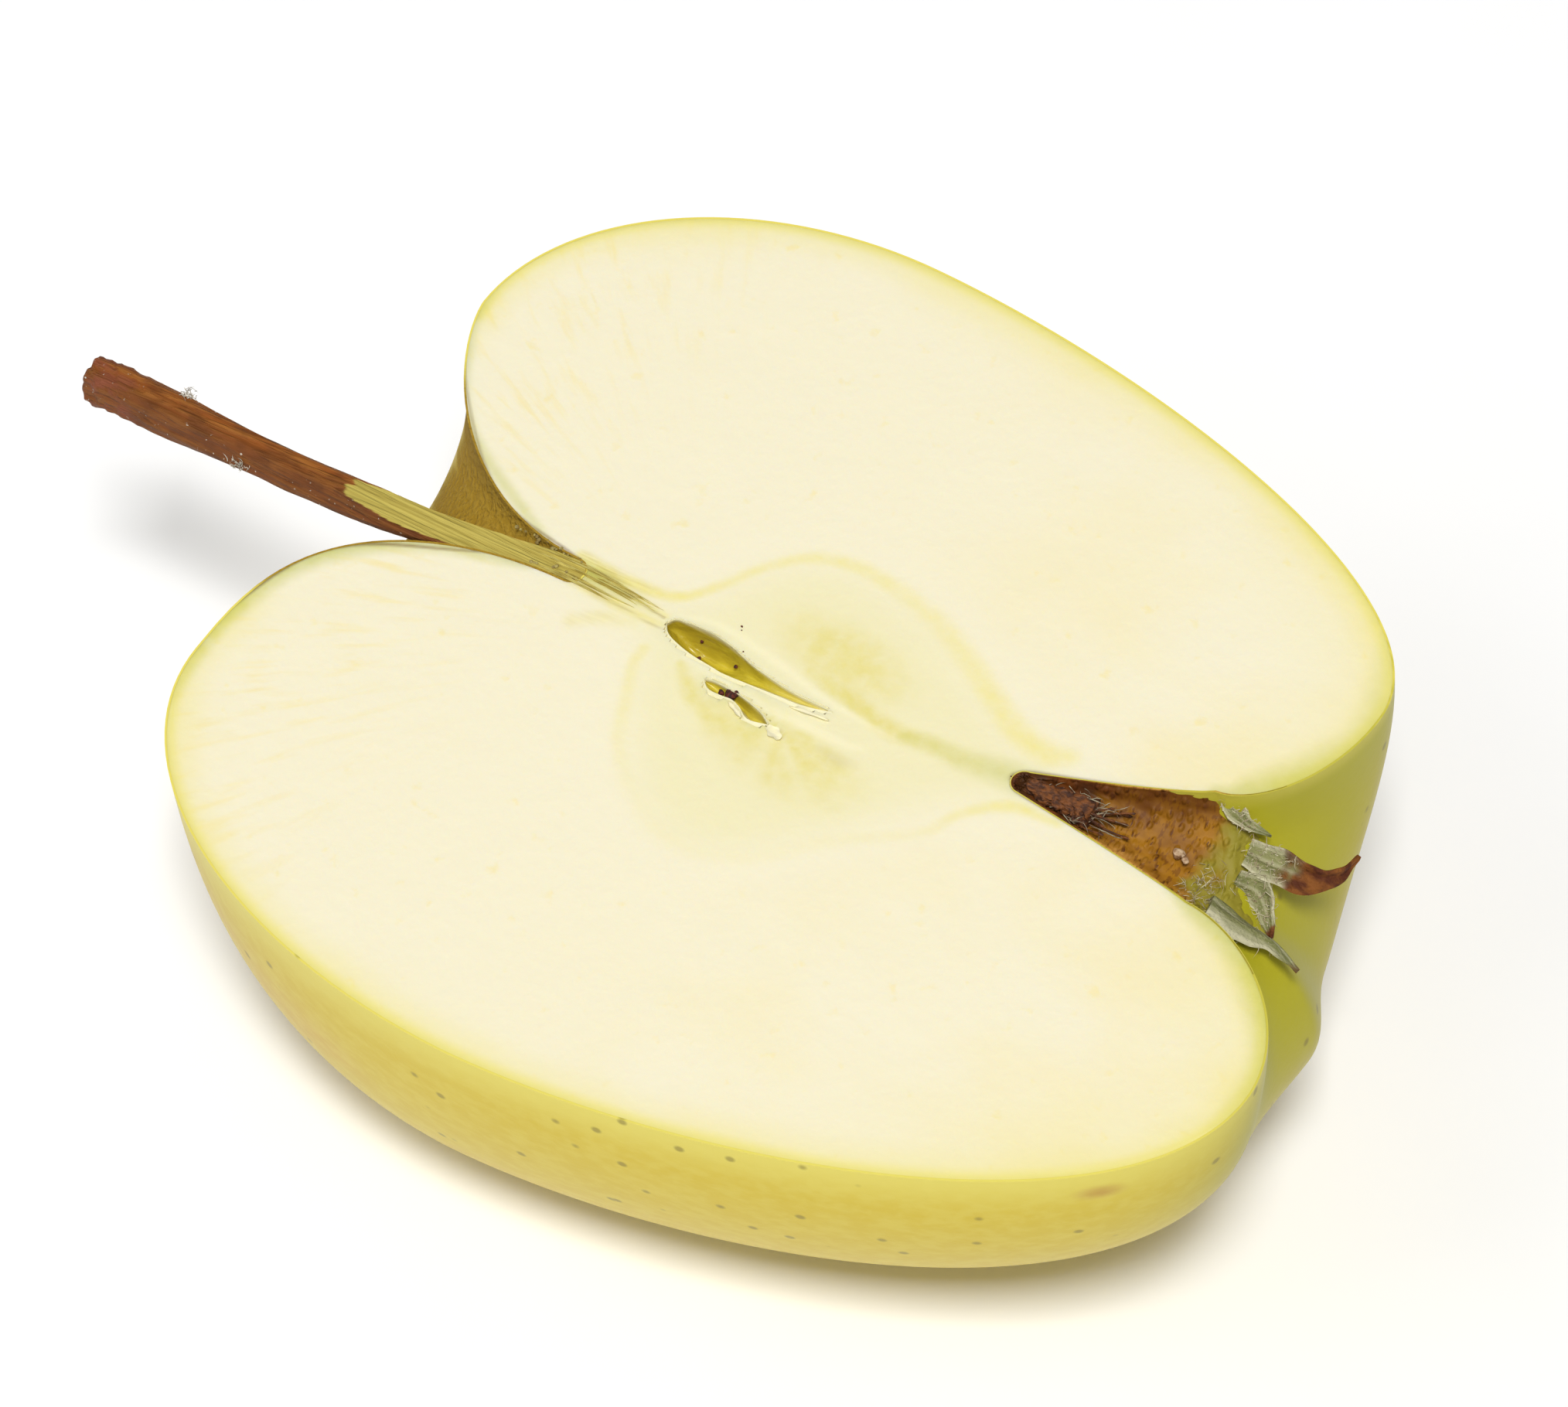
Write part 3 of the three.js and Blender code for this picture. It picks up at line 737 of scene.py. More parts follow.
# Strokes along the cut rim: each is its cheek, 0 for the long one and 1 for the short one, and
# places of the outline with their half width and strength.
RIM_STROKES = {
    "green": [
        (0, [[1.1, 0.9, 0.4], [1.4, 1.5, 0.7], [1.7, 1.8, 0.85], [1.95, 1.6, 0.6],
             [2.15, 1.0, 0.15]]),
        (1, [[1.1, 0.7, 0.4], [1.5, 0.9, 0.5], [1.8, 0.9, 0.4], [2.05, 0.6, 0.1]]),
        (1, [[3.8, 1.2, 0.1], [4.1, 2.3, 0.4], [4.4, 2.8, 0.6], [4.8, 2.0, 0.7],
             [5.0, 1.0, 0.4]]),
        (0, [[3.9, 0.9, 0.1], [4.2, 1.8, 0.45], [4.6, 2.2, 0.7], [4.95, 1.5, 0.7],
             [5.1, 0.8, 0.2]]),
    ],
    "bruise": [
        (0, [[1.2, 0.25, 0.6], [1.6, 0.32, 0.85], [1.9, 0.35, 0.7], [2.05, 0.25, 0]]),
        (1, [[1.0, 0.25, 0.7], [1.3, 0.25, 0.6], [1.7, 0.2, 0.35], [2.0, 0.15, 0]]),
        (1, [[5.15, 0.25, 0], [5.4, 0.35, 0.5], [5.7, 0.4, 0.8], [6.0, 0.45, 0.95],
             [6.9, 0.5, 0.95]]),
        (0, [[5.3, 0.2, 0], [5.5, 0.25, 0.3], [5.8, 0.3, 0.6], [6.0, 0.35, 0.8],
             [6.9, 0.4, 0.9]]),
    ],
}
# The olive stains above and below the cells: middle, radii, and how steeply each one leans.
STAINS = (([2.6, 2.84], [7.5, 3.6], 0.1), ([2.5, -4.5], [8.6, 5.4], 0.19))

# Each seed cell lies open between an upper and a lower edge, given as places on the cut face.
SEED_CELLS = {
    "seed_cell_large": {
        "upper": [[-9.65, -0.7], [-9.3, -0.12], [-8.6, 0.05], [-6.75, 0.15], [-4.9, -0.1],
                  [-3.35, -0.56], [-2.3, -0.85], [-0.2, -1.22], [1.35, -1.38], [4.3, -1.44]],
        "lower": [[-9.65, -0.7], [-9.2, -1.25], [-8.4, -1.64], [-6.8, -2.05], [-5.0, -2.25],
                  [-4.0, -2.35], [-2.3, -2.26], [0.3, -2.1], [2.2, -1.95], [4.3, -1.44]],
        "depth": [[-9.65, 1.4], [-7.5, 2.6], [-5.0, 2.3], [-3.0, 1.4], [-1.0, 0.8], [1.0, 0.5],
                  [4.3, 0.2]],
    },
    "seed_cell_small": {
        "upper": [[-4.9, -3.35], [-4.05, -3.2], [-2.8, -3.27], [-2.07, -3.32], [-0.95, -3.56],
                  [0.1, -3.88], [1.0, -4.45]],
        "lower": [[-4.9, -3.35], [-4.2, -3.9], [-3.2, -3.95], [-2.3, -3.88], [-1.5, -4.15],
                  [-0.45, -4.72], [1.0, -4.45]],
        "depth": [[-4.9, 0.4], [-3.0, 0.8], [-1.5, 1.1], [0, 0.9], [1.0, 0.3]],
    },
}
CELL_MARGIN, CELL_CLEARANCE = 0.1, 0.5  # the flesh opens this much wider and deeper than a wall
CELL_NARROWEST = 0.05  # it closes where the half width is less
EDGE_STEPS = 400


def cell_edges(cell, x):
    """Upper and lower edge and depth of a seed cell at places along the core.

    Each is a smooth curve through its named points, read off by x."""
    rows = []
    for key in ("upper", "lower", "depth"):
        line = curve_through(cell[key], EDGE_STEPS)
        rows.append(np.interp(x, np.maximum.accumulate(line[:, 0]), line[:, 1]))
    return rows


def cell_hollow(x, y):
    """How deep the flesh is hollowed at places on the face: deep inside a cell, 0 outside."""
    hollow = np.zeros(np.shape(x))
    for cell in SEED_CELLS.values():
        upper, lower, depth = cell_edges(cell, x)
        half = (upper - lower) / 2
        across = np.abs(y - (upper + lower) / 2) / (half + CELL_MARGIN)
        within = (across < 1) & (half > CELL_NARROWEST)
        bowl = (depth + CELL_CLEARANCE) * rounded(across)
        hollow = np.maximum(hollow, np.where(within, bowl, 0))
    return hollow


def cheek_columns(azimuth):
    """Places of a cheek's rim and of its inner edge, column by column across the cut face.

    The columns are even along the core, and crowd towards its two ends beyond them."""
    swing = np.array([azimuth])

    def along_of(places):
        return outline(swing, np.asarray(places, float)[None])[0][0]

    def place_on(first, last, along):
        places = np.linspace(first, last, RIM_SAMPLES)
        reach = along_of(places)
        if reach[0] > reach[-1]:
            places, reach = places[::-1], reach[::-1]
        return np.interp(along, reach, places)

    pit, shoulder, crown, tip = PLACE["pit"], PLACE["shoulder"], PLACE["crown"], PLACE["tube_tip"]
    pit_x, tip_x = along_of([pit, tip])
    stemward, flowerward = place_on(shoulder, crown, [pit_x, tip_x])
    crowded = [np.linspace(0, 1, n + 1) ** COLUMN_CROWDING for n in (STEM_COLUMNS, FLOWER_COLUMNS)]
    rim_stem = stemward + (shoulder - stemward) * crowded[0][::-1]
    rim_core = place_on(shoulder, crown, np.linspace(pit_x, tip_x, CORE_COLUMNS + 1)[1:-1])
    rim_flower = flowerward + (crown - flowerward) * crowded[1]
    inner_stem = place_on(pit, shoulder, along_of(rim_stem))
    inner_flower = place_on(crown, tip, along_of(rim_flower))
    rim = np.concatenate([rim_stem, rim_core, rim_flower])
    return np.concatenate([inner_stem[:0:-1], rim, inner_flower[-2::-1]])


def rested(points, floor):
    """Points of the back, kept above a height in millimetres where the half rests."""
    placed = to_row(points)
    placed[..., 2] = np.maximum(placed[..., 2], floor * MM)
    return from_row(placed)


def oval_reach(x, y, middle, radii):
    """How far places lie from the middle of an oval, as a share of the way to its edge."""
    return np.hypot((x - middle[0]) / radii[0], (y - middle[1]) / radii[1])


def face_relief(x, y):
    """Height of the cut face: long low ripples, finer tears over them, and the open cells.

    The ripples fade out by the seed cells, whose walls lie on the face there."""
    ripple = bpy.context.scene.apple_face.ripple / MM
    tears = value_noise(x * 0.55 + y * 0.4, y * 1.3, *NOISE["tear"])
    waves = layered_noise(x, y, *NOISE["ripple"]) + 0.5 * tears
    calm = smooth(oval_reach(x, y, *CALM_OVAL), 0.9, 1.35)
    return -ripple * (0.5 + 0.5 * waves) * calm - cell_hollow(x, y)


def flesh_part():
    """The flesh as one closed body: the back sunk by the skin's thickness, and the cut face.

    Each cheek of the face is a grid: a point is its column's inner end plus a share of the way
    to its rim, and the share is the row's own share to a power."""
    long_places, short_places = cheek_columns(0.0), cheek_columns(np.pi)
    azimuth = np.linspace(0, np.pi, BACK_STEPS + 1)
    share = (azimuth / np.pi)[:, None]
    places = long_places * (1 - share) + short_places * share
    thickness = bpy.context.scene.apple_skin.thickness / MM
    back = rested(sunk(back_surface(azimuth, places), thickness), thickness)
    back[[0, -1], :, 2] = -RIM_STEP
    columns = STEM_COLUMNS + CORE_COLUMNS + FLOWER_COLUMNS + 1
    parts = [(back.reshape(-1, 3), grid_quads(*back.shape[:2]))]
    out = np.linspace(0, 1, FACE_ROWS + 1)[:, None, None] ** FACE_CROWDING
    for border, flip in ((back[0], True), (back[-1], False)):
        rim = border[STEM_COLUMNS : STEM_COLUMNS + columns]
        stem_edge = border[STEM_COLUMNS::-1]
        flower_edge = border[: -FLOWER_COLUMNS - 2 : -1]
        core = np.linspace(stem_edge[-1], flower_edge[0], CORE_COLUMNS + 1)[1:-1]
        inner = np.concatenate([stem_edge, core, flower_edge])
        grid = inner + (rim - inner) * out
        inside_rows = grid[:-1, STEM_COLUMNS:-FLOWER_COLUMNS]
        inside_rows[..., 2] = face_relief(inside_rows[..., 0], inside_rows[..., 1])
        for span in (slice(0, STEM_COLUMNS), slice(-FLOWER_COLUMNS, None)):
            ends = grid[1:-1, span]
            ends[..., 2] = face_relief(ends[..., 0], ends[..., 1])
        grid[0, STEM_COLUMNS, 2] = grid[0, -FLOWER_COLUMNS - 1, 2] = -RIM_STEP
        parts.append((grid.reshape(-1, 3), grid_quads(*grid.shape[:2], flip=flip)))
    rims = [back[0][:, :2], back[-1][:, :2]]
    return joined(*parts), rims


def rim_stroke(azimuth, steps):
    """A stroke along the cut rim. Each step has its place, half width and strength."""
    place, width, strength = np.array(steps, float).T
    x, r = outline(np.array([azimuth]), place[None])
    return np.column_stack([x[0], -r[0] * np.cos(azimuth), width, strength])


def stroke_marks(flat):
    """The strokes and stains of the cut face at flat points, each from 0 to 1.

    A stain is a soft, leaning oval. The lower one is torn into rays by noise round its middle,
    and fades out at the cells above it."""
    marks = {}
    for name, strokes in STROKES.items():
        rims = [rim_stroke(cheek * np.pi, steps) for cheek, steps in RIM_STROKES.get(name, [])]
        marks[name] = stroked(flat, strokes + rims)
    x, y = flat.T
    levels = [y + lean * (x - middle[0]) for middle, _, lean in STAINS]
    upper, lower = (oval_reach(x, level, *stain[:2]) for level, stain in zip(levels, STAINS))
    height = levels[1] - STAINS[1][0][1]
    rays = layered_noise(np.arctan2(height * 1.6, x - 2) * 4.5, lower * 1.1, *NOISE["stain_rays"])
    torn = 0.35 + 0.75 * (0.5 + 0.5 * rays)
    lower_stain = smooth(lower, 1.05, 0.35) * torn * smooth(height, 1.8, 0.3)
    stains = 0.75 * smooth(upper, 1, 0.1) + 0.85 * lower_stain
    marks["olive"] = np.clip(stains + 0.9 * marks["olive"], 0, 1)
    return marks


def flesh_material():
    """Fruit flesh, fresh cut: moist and faintly see-through, so light goes a little way in."""
    face = bpy.context.scene.apple_face
    material, tree, shader = new_material("Fruit flesh, fresh cut")
    place = apple_coordinates(tree)
    fleck = mottle(tree, place, 1.6, 0.62, 0.78, detail=3.0)
    broad = mottle(tree, place, (15.0, 12.0, 12.0), 0.35, 0.7, seed=7.0)
    fine = mottle(tree, place, 1.1, 0.2, 0.75, detail=4.0, seed=3.0)
    thread = mottle(tree, place, (3.2, 0.3, 1.0), 0.35, 0.7, seed=9.0)
    links = {"X": product(tree, ["turn"]), "Y": product(tree, ["reach_mm"])}
    fan = add_node(tree, "ShaderNodeCombineXYZ", links=links).outputs[0]
    streak = mottle(tree, fan, (0.03, 5.5, 1.0), 0.48, 0.78, detail=3.0)
    stemward, outer = ("along_mm", -34.0, -14.0), ("core_mm", -6.0, 0.0)
    layers = [
        ([("core_mm", 3.5, -1.5), 0.8], face.core_tint),
        ([broad, ("along_mm", 22.0, -8.0), outer, 0.3], face.fleck),
        ([fleck, outer, 0.45], face.fleck),
        ([streak, stemward, outer, 0.6], face.fleck),
        (["olive", 0.45], face.olive),
        (["olive", fine, 0.9], face.olive),
        (["pale", 0.75], SHADES["cell_lip"]),
        ([("rim_mm", 0.0, 10.0), ("along_mm", 38.0, 8.0), 0.22], face.rim),
        ([("rim_mm", 0.0, 6.0), broad, 0.2], face.rim),
        ([("rim_mm", 0.0, 3.2), 0.34], face.rim),
        ([("rim_mm", 0.0, 1.1), 0.8], face.rim),
        (["vessel", 0.65], face.core_line),
        (["vessel", fine, 0.8], face.core_line),
        (["green", 0.75], face.green),
        (["green", fine, 0.4], face.green),
        ([("along_mm", -16.5, -9.5), "vessel", thread, 0.6], SHADES["vessel_thread"]),
        (["bruise", 0.85], face.bruise),
    ]
    sockets = {
        "Roughness": 0.5,
        "Specular IOR Level": 0.3,
        "Subsurface Weight": 0.25,
        "Subsurface Radius": (1.0, 0.75, 0.35),
        "Subsurface Scale": 1.6 * MM,
    }
    finish(tree, shader, face.cream, layers, sockets)
    bumped(tree, shader, mottle(tree, place, 0.8, 0.25, 0.8, detail=3.0), 0.015)
    return material


class APPLE_OT_cut_face(bpy.types.Operator):
    """Build the flesh with its cut face, and mark on it where its colours change"""

    bl_idname = "apple_half.cut_face"
    bl_label = "Cut face"

    def execute(self, context):
        part, rims = flesh_part()
        flat = part[0][:, :2]
        x, y = flat.T
        first, last = PLACE["shoulder"] + OUTER_RIM[0], PLACE["crown"] + OUTER_RIM[1]
        places = cheek_columns(0.0), cheek_columns(np.pi)
        outer = [rim[(at > first) & (at < last)] for rim, at in zip(rims, places)]
        line = curve_through(CORE_LINE + CORE_LINE[:1], CORE_LINE_STEPS)
        to_line = nearest_on(flat, line)[0]
        marks = {
            "rim_mm": nearest_on(flat, np.vstack(outer))[0],
            "core_mm": np.where(inside(flat, line), to_line, -to_line),
            "along_mm": x,
            "turn": np.arctan2(y, FAN_FROM - x),
            "reach_mm": np.hypot(x - FAN_FROM, y),
            **stroke_marks(flat),
        }
        make_piece("cut_flesh", part, flesh_material(), ["flesh"], marks)
        return {"FINISHED"}


# ---- Seed cells ----
CELL_ROWS, CELL_COLUMNS = 90, 45
CELL_FLANGE = np.array([0.07, 0.18, 0.35])  # columns of the wall's edge that lie on the flesh
CELL_LIP, FLANGE_DROP = 0.02, 0.16
FLANGE_FALL = (1.02, 1.3)  # the flange drops between these two swings
CELL_WRINKLE = 0.05  # as a share of the depth
CELL_DEEPEST = 0.35  # where the deepest line lies, from -1 at the lower edge to 1 at the upper
CELL_WALL_POWERS = (4.0, 1.8)  # how squarely the upper and the lower wall fall
CELL_END_POWER = 0.4  # and the two ends
CELL_WALL_THICKNESS = 0.1
SCRAP_ROWS, SCRAP_COLUMNS, SCRAP_THICKNESS = 24, 9, 0.05
SCRAP_LIFT, SCRAP_ARCH, SCRAP_CUP, SCRAP_TILT = 0.05, 0.06, 0.1, 0.03  # heights above the face
SPECKS = {  # dark grains, each its place and its radius
    "grains": [
        [-7.35, 0.0, -1.35, 0.16], [-4.1, -0.72, -1.25, 0.15], [-6.2, -1.98, -0.15, 0.15],
        [-5.0, 1.62, 0.03, 0.09], [-3.76, -0.12, 0.03, 0.06], [-4.85, 1.35, 0.02, 0.05],
    ],
    "seed_chip": [
        [-2.7, -3.45, -0.25, 0.42], [-3.3, -3.65, -0.15, 0.24], [-2.3, -3.2, -0.12, 0.24],
    ],
}
# Loose scraps of the cells' papery lining: centre, length, width and turn in degrees.
PAPER_SCRAPS = [
    [1.75, -4.85, 1.5, 0.8, -20], [-1.6, -4.55, 1.6, 0.3, -24], [3.0, -2.35, 3.0, 0.25, 6],
]


def both_faces(values, grid):
    """A value for each vertex of a shell, from values along the rows or columns of its grid."""
    return np.tile(np.broadcast_to(values, grid.shape[:2]).ravel(), 2)


def cell_part(cell):
    """A seed cell's wall: a bowl between its two edges, with a thin flange lying on the face.

    Across the bowl the depth is 1 less the way from its deepest line to a power. That line lies
    nearer the upper edge, so the lower wall slopes gently and the upper one is steep. Returns
    the part, the share along and the swing across."""
    first, last = cell["upper"][0][0], cell["upper"][-1][0]
    turn = np.linspace(0, np.pi, CELL_ROWS)
    x = first + (last - first) * (1 - np.cos(turn)) / 2
    upper, lower, depth = cell_edges(cell, x)
    middle, half = ((upper + lower) / 2)[:, None], ((upper - lower) / 2)[:, None]
    beyond = np.concatenate([-CELL_FLANGE[::-1], np.zeros(CELL_COLUMNS), CELL_FLANGE])
    across = np.pad(np.linspace(-1, 1, CELL_COLUMNS), len(CELL_FLANGE), "edge") + beyond
    y = middle + half * (across - beyond) + beyond
    steep = across > CELL_DEEPEST
    way = np.abs(across - CELL_DEEPEST) / (1 + CELL_DEEPEST * np.where(steep, -1, 1))
    fullness = 1 - np.minimum(way, 1) ** np.where(steep, *CELL_WALL_POWERS)
    wrinkle = CELL_WRINKLE * value_noise(x[:, None], across[None] * 2, *NOISE["cell_wrinkle"])
    bowl = -depth[:, None] * np.sin(turn)[:, None] ** CELL_END_POWER * fullness * (1 + wrinkle)
    swing = np.abs(across)
    flange = CELL_LIP - FLANGE_DROP * smooth(swing, *FLANGE_FALL)
    z = np.where(swing > 1, flange, bowl + CELL_LIP * smooth(swing, 0.9, 1))
    inner = np.stack([np.broadcast_to(x[:, None], y.shape), y, z], axis=-1)
    part = shell(inner, inner - [0, 0, CELL_WALL_THICKNESS], close_columns=True)
    share = (x - first) / (last - first)
    return part, both_faces(share[:, None], inner), both_faces(across, inner)


def cell_material():
    """Papery lining of a seed cell: thin, horny and shiny inside, pale and dry at its lip."""
    core = bpy.context.scene.apple_core
    material, tree, shader = new_material("Seed cell lining, papery")
    stain = mottle(tree, apple_coordinates(tree), (2.2, 0.5, 0.8), 0.35, 0.7)
    layers = [
        ([stain, 0.35], SHADES["cell_stain"]),
        ([("along_mm", -9.0, -4.0), 0.6], SHADES["cell_shaded"]),
        ([("along_mm", 2.5, -2.0), 0.5], SHADES["cell_lit"]),
        ([("pale", 1.0, 0.0)], core.paper),
    ]
    sockets = {
        "Roughness": 0.3,
        "Subsurface Weight": 0.15,
        "Subsurface Radius": (1.0, 0.7, 0.3),
        "Subsurface Scale": 0.8 * MM,
    }
    finish(tree, shader, core.wall, layers, sockets)
    bumped(tree, shader, stain, 0.05)
    return material


def plain_material(name, colour, second, roughness, size, height):
    """A dry plant surface of two mingled colours. The patches' size and height are millimetres."""
    material, tree, shader = new_material(name)
    patches = mottle(tree, apple_coordinates(tree), size, 0.35, 0.65, detail=4.0)
    finish(tree, shader, colour, [([patches], second)], {"Roughness": roughness})
    bumped(tree, shader, patches, height)
    return material


def scrap_part(x, y, length, width, degrees, rng):
    """A curled scrap of paper: a strip whose sides taper, arched along and cupped across."""
    along = np.linspace(-1, 1, SCRAP_ROWS)[:, None]
    across = np.linspace(-1, 1, SCRAP_COLUMNS)[None]
    taper = rounded(along, 2.2) * (1 + 0.2 * np.sin(6 * along + x))
    u = along * length / 2 + 0 * across
    v = across * width / 2 * taper
    tilt = SCRAP_TILT * rng.uniform(-1, 1, 1) * along
    lift = SCRAP_LIFT + SCRAP_ARCH * (1 - along**2) + SCRAP_CUP * across**2 + tilt
    cos, sin = math.cos(math.radians(degrees)), math.sin(math.radians(degrees))
    top = np.stack([x + u * cos - v * sin, y + u * sin + v * cos, lift + 0 * u], axis=-1)[:, ::-1]
    return shell(top, top - [0, 0, SCRAP_THICKNESS], close_columns=True)


class APPLE_OT_seed_cells(bpy.types.Operator):
    """Build the walls of the open seed cells, the dark grains in them and the papery scraps"""

    bl_idname = "apple_half.seed_cells"
    bl_label = "Seed cells"

    def execute(self, context):
        core = context.scene.apple_core
        lining = cell_material()
        for name, cell in SEED_CELLS.items():
            part, share, swing = cell_part(cell)
            x, _, z = part[0].T
            slope = smooth(share, 0.4, 0.7) * smooth(-swing, -0.15, 0.35)
            marks = {"pale": np.maximum(0.85 * smooth(z, -0.3, -0.05), slope), "along_mm": x}
            make_piece(name, part, lining, marks=marks)
        rng = np.random.default_rng(11)
        dark = plain_material("Dried grain, dark", core.speck, SHADES["grain"], 0.75, 0.2, 0.03)
        for name, grains in SPECKS.items():
            make_piece("core_" + name, pebbles(grains, rng), dark)
        paper = plain_material(
            "Scraps of cell lining, dry", SHADES["scrap"], core.paper, 0.6, (0.8, 0.3, 0.5), 0.02
        )
        scraps = [scrap_part(*sizes, rng) for sizes in PAPER_SCRAPS]
        make_piece("core_papers", joined(*scraps), paper)
        return {"FINISHED"}


# ---- Skin ----
SKIN_ROUND = 150
SKIN_STEPS = (4, 26, 34, 72, 52, 16, 5)  # between one landmark and the next
CAVITY_MIDDLE, CAVITY_END = -27, -17  # along the core: russet spreads from one, ends at the other
BASIN_MIDDLE = 33  # green spreads from here
BLEMISH = [38.8, -23.8, -2.4]  # a bruise on the long cheek near the crown
BLEMISH_STRETCH = [0.8, 0.8, 1.6]  # it is longer along the skin than it is high


def skin_part():
    """The skin: the back's surface and a copy sunk by its thickness, closed at the rims."""
    steps = [np.arange(count) / count + number for number, count in enumerate(SKIN_STEPS)]
    surface = back_grid(SKIN_ROUND, np.concatenate(steps + [[len(SKIN_STEPS)]]))[-1]
    thickness = bpy.context.scene.apple_skin.thickness / MM
    return shell(rested(surface, 0), rested(sunk(surface, thickness), thickness))


def skin_material():
    """Fruit skin: thin and waxy, with a satin shine, small corky pores and rough russet."""
    skin = bpy.context.scene.apple_skin
    material, tree, shader = new_material("Fruit skin, waxy")
    place = apple_coordinates(tree)
    broad = mottle(tree, place, (22.0, 18.0, 18.0), 0.4, 0.68)
    fine = mottle(tree, place, (1.6, 1.1, 1.1), 0.35, 0.7, detail=4.0, seed=4.0)
    grit = mottle(tree, place, 0.45, 0.35, 0.65, seed=5.0)
    dots = spots(tree, place, 3.2, 0.06, 0.15)
    russet = ("russet", 1.0, 0.0)
    layers = [
        ([("blush", 1.0, 0.0), broad, 0.6], skin.blush),
        ([fine, 0.3], skin.pale),
        # Painted light: the skin is made paler towards the cut face and darker further down.
        ([("below_mm", 0.3, 5.0), 0.75], skin.pale),
        ([("below_mm", 0.0, 0.16)], SHADES["skin_cut"]),
        ([("green", 1.0, 0.0), 0.95], skin.green),
        # A narrower pale band right under the cut, painted light as well.
        ([("below_mm", 0.0, 1.6), 0.35], skin.pale),
        ([dots, 0.6], skin.dot),
        ([("blemish_mm", 0.2, 1.9), 0.65], SHADES["blemish"]),
        ([russet, 0.95], skin.russet),
        ([russet, grit, 0.4], SHADES["russet_grit"]),
    ]
    sockets = {
        "Specular IOR Level": 0.15,
        "Subsurface Weight": 0.1,
        "Subsurface Radius": (1.0, 0.8, 0.3),
        "Subsurface Scale": 1.5 * MM,
    }
    finish(tree, shader, skin.yellow, layers, sockets)
    satin_to_rough = {"To Min": 0.38, "To Max": 0.9}
    links = {"Value": product(tree, [russet])}
    rough = add_node(tree, "ShaderNodeMapRange", satin_to_rough, links)
    tree.links.new(rough.outputs[0], shader.inputs["Roughness"])
    bumped(tree, shader, product(tree, [grit, ("russet", 1.0, -0.15)]), 0.08)
    return material


class APPLE_OT_skin(bpy.types.Operator):
    """Build the skin over the flesh, with russet in the stem cavity and green at the flower end"""

    bl_idname = "apple_half.skin"
    bl_label = "Skin"

    def execute(self, context):
        part = skin_part()
        x, y, z = part[0].T
        turn, radius = np.arctan2(-z, -y), np.hypot(y, z)
        rays = layered_noise(turn * 9, radius * 0.12, *NOISE["russet_rays"])
        ribs = value_noise(turn * 2.2, radius * 0.03, *NOISE["green_ribs"])
        to_stem = np.hypot(x - CAVITY_MIDDLE, radius * 0.9)
        to_flower = np.hypot((x - BASIN_MIDDLE) * 0.8, radius)
        to_blemish = np.linalg.norm((part[0] - BLEMISH) * BLEMISH_STRETCH, axis=1)
        marks = {
            "russet": smooth(to_stem + 2.5 * rays, 16, 9) * (x < CAVITY_END),
            "green": smooth(to_flower + 4 * ribs, 30, 9) * smooth(x, 10, 26),
            "blush": smooth(-x, -15, 30) * smooth(-z, 1, 12),
            "below_mm": -z,
            "blemish_mm": to_blemish,
        }
        make_piece("waxy_skin", part, skin_material(), ["flesh"], marks)
        return {"FINISHED"}


# ---- Flower tube ----
TUBE_ROUND, TUBE_STEPS = 90, 110
TUBE_FROM = 4.55  # the lining begins this side of the mouth
TUBE_LIFT, TUBE_LEAST_LIFT = 0.12, 0.05  # how far the lining stands out of the flesh
TUBE_SINK = 0.12  # and how far it dips into it at its edge
TUBE_RIBS = (0.05, 70)  # height, and radians of their wave from one landmark to the next
TUBE_LUMPS, TUBE_RAGGED = 0.08, 0.1  # height, and how far noise shifts the edge
TUBE_EDGE = (0.1, 0.45)  # the lining comes up between these two places from where it begins
TUBE_RIM_LIFT, TUBE_THICKNESS = 0.012, (0.06, 0.2)  # at the rim, and added away from it
TUBE_RIM_RISE = 0.15  # how far the lining comes up by the rim
TUBE_RIM_DELAY = 0.3  # and how much further into the tube, as a share of the last stretches


def tube_part():
    """The tube's lining: the back's surface raised a little, with fine ribs across the tube.

    The ribs are a wave along the tube, shifted by noise round it, and lumps are noise too.
    Towards the basin the lining sinks under the skin at a ragged edge, and at the two rims it
    thins out to lie in the cut face."""
    row = np.linspace(TUBE_FROM, PLACE["tube_tip"], TUBE_STEPS + 1)
    azimuth, places, surface = back_grid(TUBE_ROUND, row)
    turn = np.broadcast_to(azimuth[:, None], places.shape)
    shift = 3 * value_noise(turn * 5, places * 8, *NOISE["tube_rib"])
    ribs = TUBE_RIBS[0] * np.sin(places * TUBE_RIBS[1] + shift)
    lumps = TUBE_LUMPS * layered_noise(turn * 4, places * 10, *NOISE["tube_lump"])
    ragged = TUBE_RAGGED * layered_noise(turn * 6, places * 5, *NOISE["tube_edge"])
    by_rim = TUBE_RIM_DELAY * smooth(np.sin(turn), 0.5, 0)
    edge = smooth(places + ragged - by_rim, *(TUBE_FROM + reach for reach in TUBE_EDGE))
    lift = np.maximum(TUBE_LIFT + ribs + lumps, TUBE_LEAST_LIFT) * edge - TUBE_SINK * (1 - edge)
    off_rim = smooth(np.sin(azimuth), 0, 0.2)[:, None]
    lift = lift * off_rim + (TUBE_RIM_RISE * edge - TUBE_SINK) * (1 - off_rim)
    normals = back_normals(surface)
    upper = surface + normals * lift[..., None]
    lower = surface - normals * (TUBE_THICKNESS[0] + TUBE_THICKNESS[1] * off_rim)[..., None]
    upper[:, -1, 1:] = lower[:, -1, 1:] = 0
    upper[[0, -1], :, 2] = lower[[0, -1], :, 2] = TUBE_RIM_LIFT
    return shell(upper, lower, close_columns=True)


